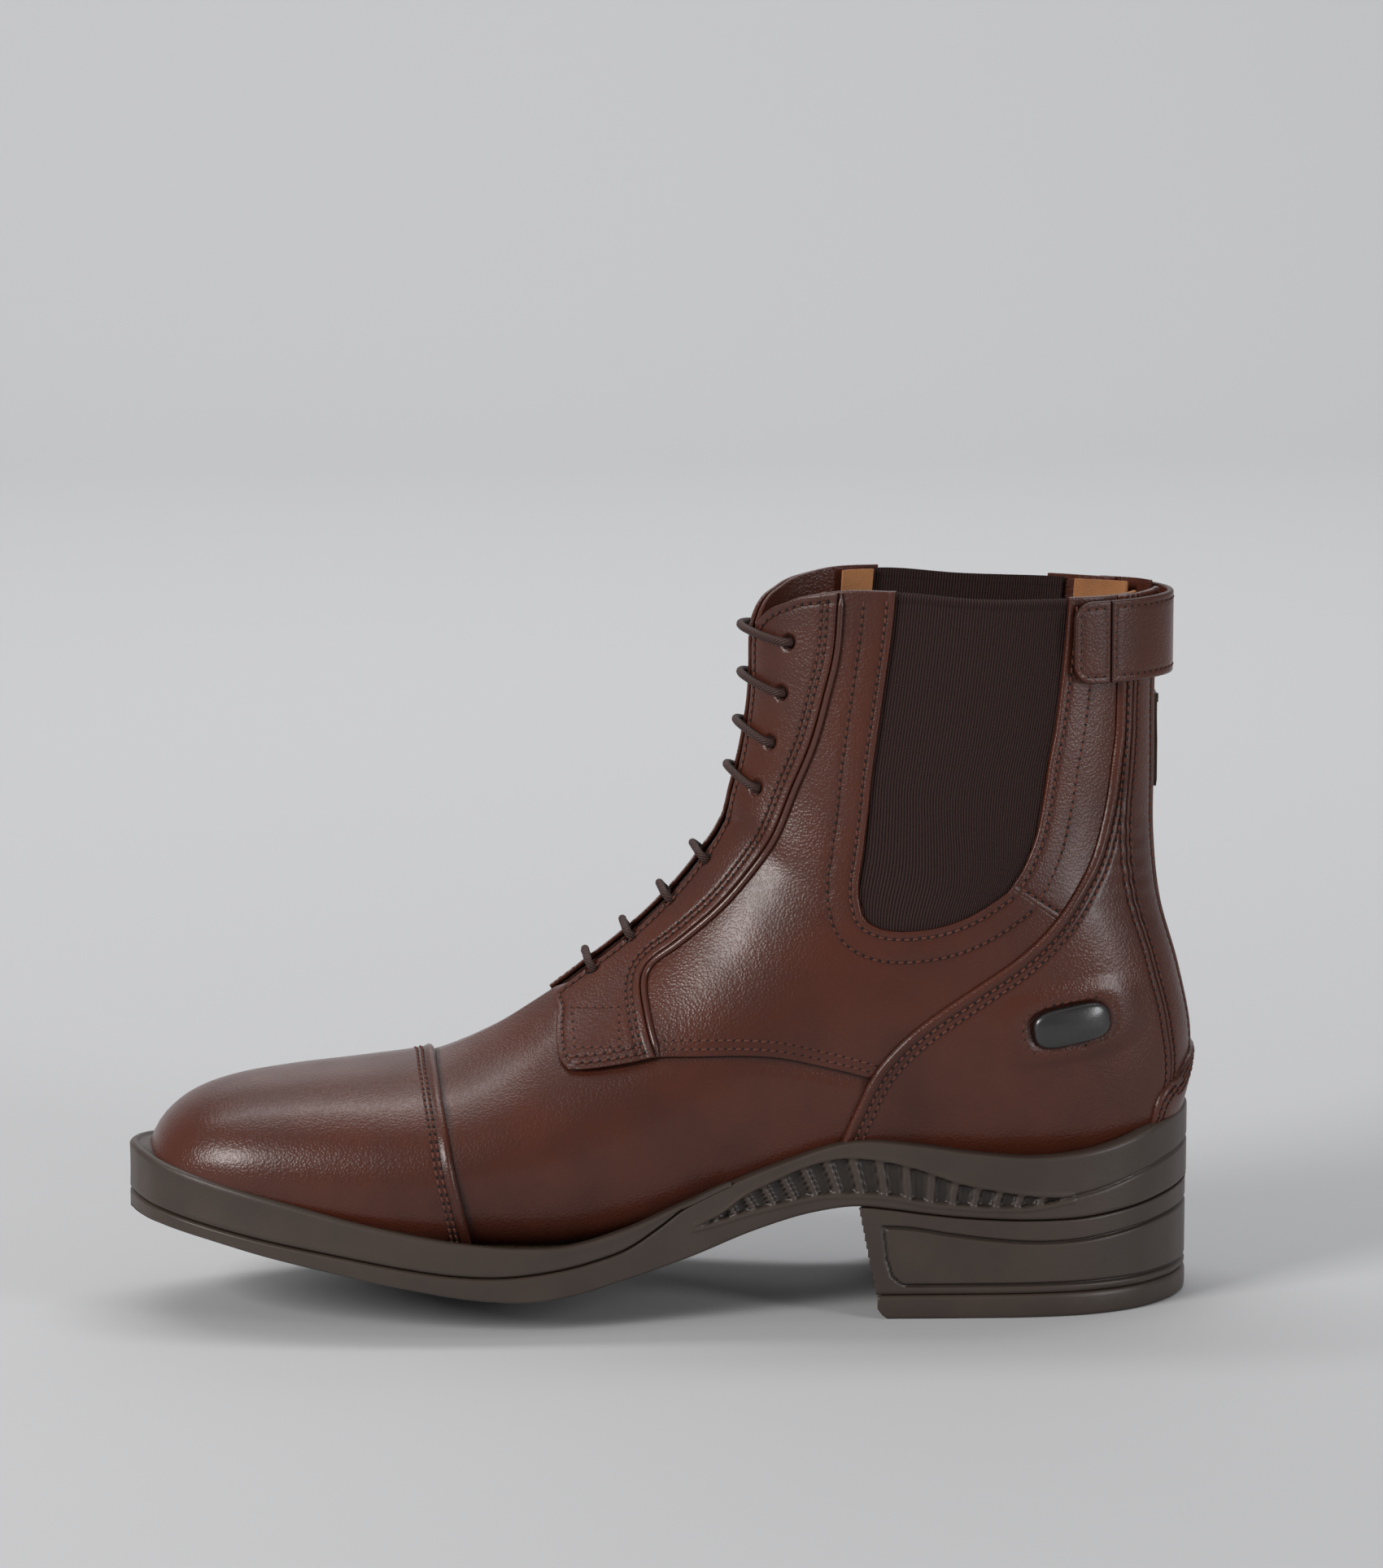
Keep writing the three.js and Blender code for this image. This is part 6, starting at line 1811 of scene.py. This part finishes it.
# ------------------------------------------------------------------ tab
@dataclass
class Tab:
    """The leather strap over the top of the zip: sewn down near the elastic, snapped shut on the far side."""

    plan: tuple[tuple[float, float], ...] = (
        (111.2, -25.6), (122.0, -22.2), (131.5, -16.6), (139.0, -8.4), (141.2, 0.0), (139.0, 8.6),
        (131.5, 17.8), (120.0, 24.4), (108.0, 27.6),
    )
    low: float = 174.5
    high: float = 197.2
    thick: float = 1.8
    seam_x: float = 121.8
    corner: float = 5.5

    def __post_init__(self) -> None:
        """Lays the strap's middle line."""
        fine = dense(self.plan, 30)
        lengths = arc_lengths(fine)
        self.run = np.linspace(0, lengths[-1], 260)
        self.line = resample(fine, lengths, self.run)
        step = np.gradient(self.line, axis=0)
        step /= np.linalg.norm(step, axis=1, keepdims=True)
        self.normal = np.stack([step[:, 1], -step[:, 0]], -1)
        self.seam = float(np.interp(self.seam_x, self.line[:90, 0], self.run[:90]))

    def at(self, run: Array, z: Array, depth: Array) -> Array:
        """Points at distances along the strap, at heights, off its middle line."""
        place_ = resample(self.line, self.run, np.ravel(run)).reshape(*np.shape(run), 2)
        normal = resample(self.normal, self.run, np.ravel(run)).reshape(*np.shape(run), 2)
        return np.concatenate([place_ + normal * np.asarray(depth)[..., None], np.asarray(z)[..., None]], -1)

    def piece(self, name: str, start: float, end: float, rounded: tuple[bool, bool], body: str) -> None:
        """One length of the strap, with rolled edges and rounded corners.

        Args:
            name: The piece's name, which is its CAD node's.
            start: Where it starts along the strap.
            end: Where it ends.
            rounded: Whether each end has rounded corners.
            body: The body it rides on.
        """
        u = spread(end - start, 1.2)
        run = start + (end - start) * u
        from_start, from_end = run - start, end - run
        trim = np.zeros(len(run))
        for gap, is_round in zip((from_start, from_end), rounded):
            if is_round:
                short = np.clip(self.corner - gap, 0, self.corner)
                trim = np.maximum(trim, self.corner - np.sqrt(np.maximum(self.corner**2 - short**2, 0)))
        v = spread(self.high - self.low, 1.2)
        low, high = self.low + trim, self.high - trim
        z = low[None] + (high - low)[None] * v[:, None]
        runs = np.broadcast_to(run[None], z.shape)
        rim = np.minimum(np.minimum(z - low, high - z), np.minimum(from_start, from_end)[None])
        inset = np.clip(1 - rim / 0.7, 0, 1)
        roll = 0.6 * (1 - np.sqrt(1 - inset**2))
        depth = self.thick / 2 - roll - 0.14 * hump(rim, 2.0, 0.5)
        points, faces = closed_sheet(self.at(runs, z, depth), self.at(runs, z, -self.thick / 2 + roll * 0.5))
        strap = new_mesh(name, points, faces)
        # painted shade at the strap's rolled rim and in the groove of its stitches
        painted_shade = (0.75 * (1 - ease(rim, 0.0, 0.45)) + 0.2 * hump(rim, 2.0, 0.5)).ravel()
        paint(strap, "seam", np.concatenate([painted_shade, painted_shade]))
        settle(strap, WARDROBE[Look.LEATHER], body, (name,))

    def stitches(self) -> None:
        """Rows of stitches: round the sewn-down end, and round the strap's own edge."""
        parts = ("root", 0.0, self.seam, "tab_base"), ("tab", self.seam, self.run[-1], "tab_strap")
        for body, start, end, name in parts:
            rows = []
            margin = 2.0
            for z in (self.low + margin, self.high - margin):
                runs = np.arange(start + 3.0, end - 3.0, STITCH)
                rows.append((runs, np.full(len(runs), z), False))
            spots = [start + margin, end - 1.3] if body == "root" else [start + 1.4, end - margin]
            for run in spots:
                heights = np.arange(self.low + 3.4, self.high - 3.2, STITCH)
                rows.append((np.full(len(heights), run), heights, True))
            threads, holes = [], []
            for runs, heights, upright in rows:
                for k, (half, girth, flat) in enumerate(((0.8, 0.31, 1.0), (0.34, 0.38, 0.35))):
                    stations = np.linspace(-1, 1, 5 if k == 0 else 3) * half
                    radii = girth * np.array([0.35, 0.9, 1, 0.9, 0.35] if k == 0 else [0.6, 1, 0.6])
                    turn = np.arange(6) * math.pi / 3
                    shift = 0.0 if k == 0 else 1.17
                    spot = stations[:, None] + shift
                    wide = radii[:, None] * np.cos(turn)
                    proud = self.thick / 2 - 0.1 + radii[:, None] * np.sin(turn) * flat
                    shape = (len(runs), *wide.shape)
                    r = runs[:, None, None] + (wide if upright else spot)[None]
                    h = heights[:, None, None] + (spot if upright else wide)[None]
                    body_rings = self.at(np.broadcast_to(r, shape), np.broadcast_to(h, shape),
                                         np.broadcast_to(proud[None], shape))
                    (threads if k == 0 else holes).append(body_rings)
            # the hole bodies are near-black painted shade in the needle hole
            kinds = ("thread", threads, Look.THREAD), ("needle_holes", holes, Look.NEEDLE)
            for label, rings, look in kinds:
                piece = new_mesh(f"{name}_{label}", *many_bodies(np.concatenate(rings)))
                settle(piece, WARDROBE[look], body)

    def make(self) -> None:
        """Makes the sewn-down base, the strap and their stitches."""
        self.piece("tab_base", 0.35, self.seam - 0.15, (True, False), "root")
        self.piece("tab_strap", self.seam + 0.15, self.run[-1] - 0.3, (False, True), "tab")
        self.stitches()


# ------------------------------------------------------------------ inside
@dataclass
class Inside:
    """Tongue, linings and footbed."""

    def tongue(self) -> None:
        """The padded tongue: it swells into the gap between the facings."""
        t = np.linspace(8.6, 24.4, 100)
        half = 19.5
        lateral, medial = (LAST.beside_middle(t, half, side) for side in (Side.LATERAL, Side.MEDIAL))
        medial[:, 1] += 2 * math.pi

        def end(angle: Array) -> Array:
            """The section of the tongue's top edge at each angle."""
            xs, zs = np.array([20.0, 24, 31, 40, 52, 70]), np.array([178.0, 181, 189, 194, 196.5, 197])
            return where(angle, lambda p: p[..., 2] < smooth_at(p[..., 0], xs, zs), 14, 25)

        angle = np.linspace(lateral[-1, 1], medial[-1, 1], 40)
        high = np.stack([end(angle), angle], -1)
        left, right = (np.array([row for row in line if row[0] < stop]) for line, stop in
                       ((lateral, high[0, 0]), (medial, high[-1, 0])))
        left, right = np.vstack([left, high[:1]]), np.vstack([right, high[-1:]])
        low = straight(left[0], right[0], 30)

        def relief(p: Array) -> Array:
            """Swells the middle between the facings, with soft folds across it."""
            swell = 2.1 * hump(p[..., 1], 0.0, 5.6) * ease(p[..., 2], 84, 96)
            folds = 0.16 * np.sin(p[..., 2] * 0.55 + 1.2 * np.sin(p[..., 2] * 0.11)) * hump(p[..., 1], 0, 6)
            return swell * (1 - 0.6 * ease(p[..., 2], 186, 196)) + folds

        kinds = {"high": EdgeKind.FOLD, **cut("left", "right")}
        panel = Panel("tongue", low, high, left, right, kinds, outer=TONGUE_OUT, inner=TONGUE_IN, step=1.4,
                      relief=relief)
        panel.make(None, ("tongue",))

    def sheet(self, name: str, lines: Sequence[Array], kinds: dict[str, EdgeKind],
              stands_for: Sequence[str] = (), step: float = 3.0) -> None:
        """One sheet of lining between its low, high, left and right lines."""
        Panel(name, *lines, kinds, outer=LINING_OUT, inner=LINING_IN, step=step).make(
            None, stands_for, Look.LINING, "lining")

    def lining(self) -> None:
        """The linings of the shaft's sides: behind the quarter, the elastic and the heel cover."""
        drop = 0.8
        for side in Side:
            name = side.named("lining")
            rear = LAST.beside_middle(np.linspace(16.6, 24.9, 60), 9.3, side, front=False)
            rear = cut_at_top(rear, drop)
            fold = [(x + 9.0, z) for x, z in GUSSET_REAR]
            front = cut_at_top(LAST.seam([(96.0, 100.0), (103.0, 118.0), *fold], side), drop)
            foot = LAST.seam([(96.0, 100.0), (97.0, 70.0), (99.0, 48.0)], side)[::-1]
            left = joined(foot, front[1:])
            low = straight(left[0], rear[0], 20)
            high = top_between(left[-1], rear[-1], 20, drop)
            kinds = cut("left", "right", "high")
            self.sheet(name, (low, high, left, rear), kinds, (name,))
            edge = [(x + 3.0, z) for x, z in FACING_REAR[6:]]
            left = cut_at_top(LAST.seam(edge, side), drop)
            right = cut_at_top(LAST.seam([(x - 2.5, z) for x, z in GUSSET_FRONT[3:]], side), drop)
            low = straight(left[0], right[0], 20)
            high = top_between(left[-1], right[-1], 16, drop)
            self.sheet(f"{name}_front", (low, high, left, right), kinds)
            left = LAST.seam([(-2.0, 24.0), (6.0, 50.0), (16.0, 80.0), (30.0, 112.0)], side)
            right = LAST.seam([(99.0, 48.0), (97.0, 70.0), (95.0, 98.0), (93.0, 108.0)], side)
            low = straight(left[0], right[0], 24)
            line = [(30.0, 112.0), (50.0, 106.0), (66.0, 103.0), (80.0, 105.0), (93.0, 108.0)]
            high = LAST.seam(line, side)
            self.sheet(f"{name}_foot", (low, high, left, right), cut("high"), step=4.0)

    def footbed(self) -> None:
        """The footbed: a smooth insole with a raised heel cup."""
        t = np.linspace(2.6, 16.2, 70)
        left, right = (np.stack([t, np.full(len(t), angle)], -1) for angle in (0.62, -0.62))
        low, high = straight(left[0], right[0], 20), straight(left[-1], right[-1], 20)
        Panel("footbed", low, high, left, right, cut("left", "right"), outer=SOCK_OUT, inner=SOCK_IN,
              step=3.0).make(None, ("footbed",), Look.FOOTBED, "lining")

    def make(self) -> None:
        """Makes the pieces inside the boot."""
        self.tongue()
        self.lining()
        self.footbed()


# ------------------------------------------------------------------ zip
@dataclass
class Zip:
    """The zip at the back: woven tapes, moulded teeth, slider, puller and bottom stop."""

    pitch: float = 1.2
    top: float = 163.0
    foot: float = 69.5
    depth: float = -2.5

    def tapes(self) -> None:
        """The two tapes, which show between the back strips."""
        for side in Side:
            t = np.linspace(17.6, 22.3, 90)
            left = LAST.beside_middle(t, 12.0, side, front=False)
            right = LAST.beside_middle(t, 1.0, side, front=False)
            name = side.named("zip_tape")
            Panel(name, straight(left[0], right[0]), straight(left[-1], right[-1]), left, right,
                  cut("right"), outer=ELASTIC_OUT, inner=ELASTIC_IN, step=1.6).make(
                None, (name,), Look.TAPE, "zip")

    def teeth(self) -> None:
        """The teeth: two rows of rounded blocks beside the middle, set half a pitch apart."""
        for side in Side:
            z = np.arange(self.foot, self.top, self.pitch * 2) + (self.pitch if side is Side.LATERAL else 0.0)
            t_fine = np.linspace(16.5, 23.5, 500)
            z_fine = LAST.point(t_fine, np.full(500, 1e-4))[:, 2]
            t = np.interp(z, z_fine, t_fine)
            centre = LAST.point(t, np.full(len(t), 1e-4), self.depth)
            up, _, out = LAST.axes(t, np.full(len(t), 0.002), self.depth)
            across = np.array([0.0, 1.0, 0.0])
            stations = np.array([0.47, 0.6, 0.9, 2.4, 2.9]) * side.value
            scale = np.array([0.5, 0.85, 1.0, 0.9, 0.5])
            turn = np.arange(8) * math.pi / 4 + math.pi / 8
            wave_up = np.sign(np.cos(turn)) * np.abs(np.cos(turn)) ** 0.6 * 0.62
            wave_out = np.sign(np.sin(turn)) * np.abs(np.sin(turn)) ** 0.6 * 0.85
            rings = (
                centre[:, None, None] + stations[None, :, None, None] * across
                + (scale[:, None] * wave_up)[None, ..., None] * up[:, None, None]
                + (scale[:, None] * wave_out)[None, ..., None] * out[:, None, None]
            )
            name = side.named("zip_teeth")
            piece = new_mesh(name, *many_bodies(rings))
            settle(piece, WARDROBE[Look.TEETH], "root", (name,))

    def make(self) -> None:
        """Makes tapes and teeth; slider, puller and stop are dressed with the other metal."""
        self.tapes()
        self.teeth()


# ------------------------------------------------------------------ CAD parts that stay
DRESSED = {
    "toe_puff": Look.STIFFENER, "heel_counter": Look.STIFFENER, "insole_board": Look.BOARD,
    "cork_filler": Look.CORK, "shank": Look.STEEL, "lining_vamp": Look.LINING, "zip_slider": Look.BRONZE,
    "zip_puller": Look.BRONZE, "zip_bottom_stop": Look.BRONZE, "snap_back": Look.BRASS,
    "snap_stud": Look.BRASS, "snap_cap": Look.BRASS,
}


def dress_cad_parts() -> None:
    """Gives the CAD nodes that stay their finishes."""
    for name, look in DRESSED.items():
        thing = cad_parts[name]
        thing.data.materials.clear()
        thing.data.materials.append(WARDROBE[look])
        log.info("%s is dressed", thing.name)


# ------------------------------------------------------------------ studio
@dataclass
class Studio:
    """Floor, backdrop, soft boxes and the camera."""

    target: tuple[float, float, float] = (9.0, 0.0, 144.0)
    azimuth: float = math.radians(-4.5)
    distance: float = 2000.0
    rise: float = 363.0
    lens: float = 169.4

    def aim(self, thing: bpy.types.Object, at: Array, towards: Array) -> None:
        """Puts a thing at one point and turns its -Z axis towards another, both in the last's frame."""
        thing.location = Vector(place(at))
        thing.rotation_euler = Vector(place(towards) - place(at)).to_track_quat("-Z", "Y").to_euler()

    def camera(self) -> None:
        """The camera, a little to the toe's side and above."""
        data = bpy.data.cameras.new("camera")
        data.lens = self.lens
        data.sensor_width = 36.0
        data.clip_end = 20.0
        camera = bpy.data.objects.new("camera", data)
        bpy.context.scene.collection.objects.link(camera)
        across, away = math.sin(self.azimuth), -math.cos(self.azimuth)
        eye = np.array(self.target) + [across * self.distance, away * self.distance, self.rise]
        self.aim(camera, eye, np.array(self.target))
        bpy.context.scene.camera = camera

    def soft_box(self, name: str, at: Sequence[float], size: Sequence[float], power: float,
                 colour: Sequence[float], towards: Sequence[float] = (0.0, 0.0, 90.0)) -> None:
        """A rectangular soft box; unless told otherwise it faces the boot's middle."""
        data = bpy.data.lights.new(name, "AREA")
        data.shape = "RECTANGLE"
        data.size, data.size_y = size
        data.energy = power
        data.color = colour
        light = bpy.data.objects.new(name, data)
        bpy.context.scene.collection.objects.link(light)
        self.aim(light, np.array(at), np.array(towards))

    def floor(self) -> None:
        """A pale floor that sweeps up into a backdrop."""
        half, back, lift = 3500.0, 2600.0, 3000.0
        turn = np.linspace(0, math.pi / 2, 24)
        bend = 900.0
        y = np.concatenate([[-half], back - bend + bend * np.sin(turn), [back]])
        z = np.concatenate([[0.0], bend - bend * np.cos(turn), [lift]])
        rows = np.stack([np.stack([np.full(len(y), x), y, z], -1) for x in (-half, half)])
        floor = new_mesh("studio_floor", rows.reshape(-1, 3), net_faces(2, len(y)))
        floor.data.materials.append(WARDROBE[Look.FLOOR])

    def make(self) -> None:
        """Sets the whole studio up."""
        self.camera()
        self.floor()
        self.soft_box("key", (-1300, -1000, 950), (0.6, 0.7), 26.0, (1.0, 0.985, 0.965))
        self.soft_box("side", (1250, -1000, 520), (0.35, 0.8), 9.0, (0.97, 0.985, 1.0))
        self.soft_box("top", (0, 300, 1700), (1.6, 1.2), 3.5, (1.0, 1.0, 1.0))
        self.soft_box("back", (200, 1600, 1200), (1.6, 0.8), 2.5, (1.0, 1.0, 1.0))
        self.soft_box("backdrop", (0, 700, 2300), (2.6, 0.8), 54.0, (1.0, 1.0, 1.0), (0.0, 2600.0, 700.0))
        world = bpy.data.worlds.new("studio")
        world.use_nodes = True
        shade = world.node_tree.nodes["Background"]
        shade.inputs["Color"].default_value = (0.87, 0.88, 0.90, 1.0)
        shade.inputs["Strength"].default_value = 0.28
        bpy.context.scene.world = world
        scene = bpy.context.scene
        scene.view_settings.view_transform = "Standard"


def main() -> None:
    """Builds the studio and the boot, one sub-assembly after another."""
    logging.basicConfig(level=logging.INFO, format="%(message)s")
    Studio().make()
    Foot().make()
    for side in Side:
        Quarter(side).make()
    HeelPatch().make()
    Sole().make()
    Lace().make()
    Tab().make()
    Inside().make()
    Zip().make()
    dress_cad_parts()


if __name__ == "__main__":
    main()
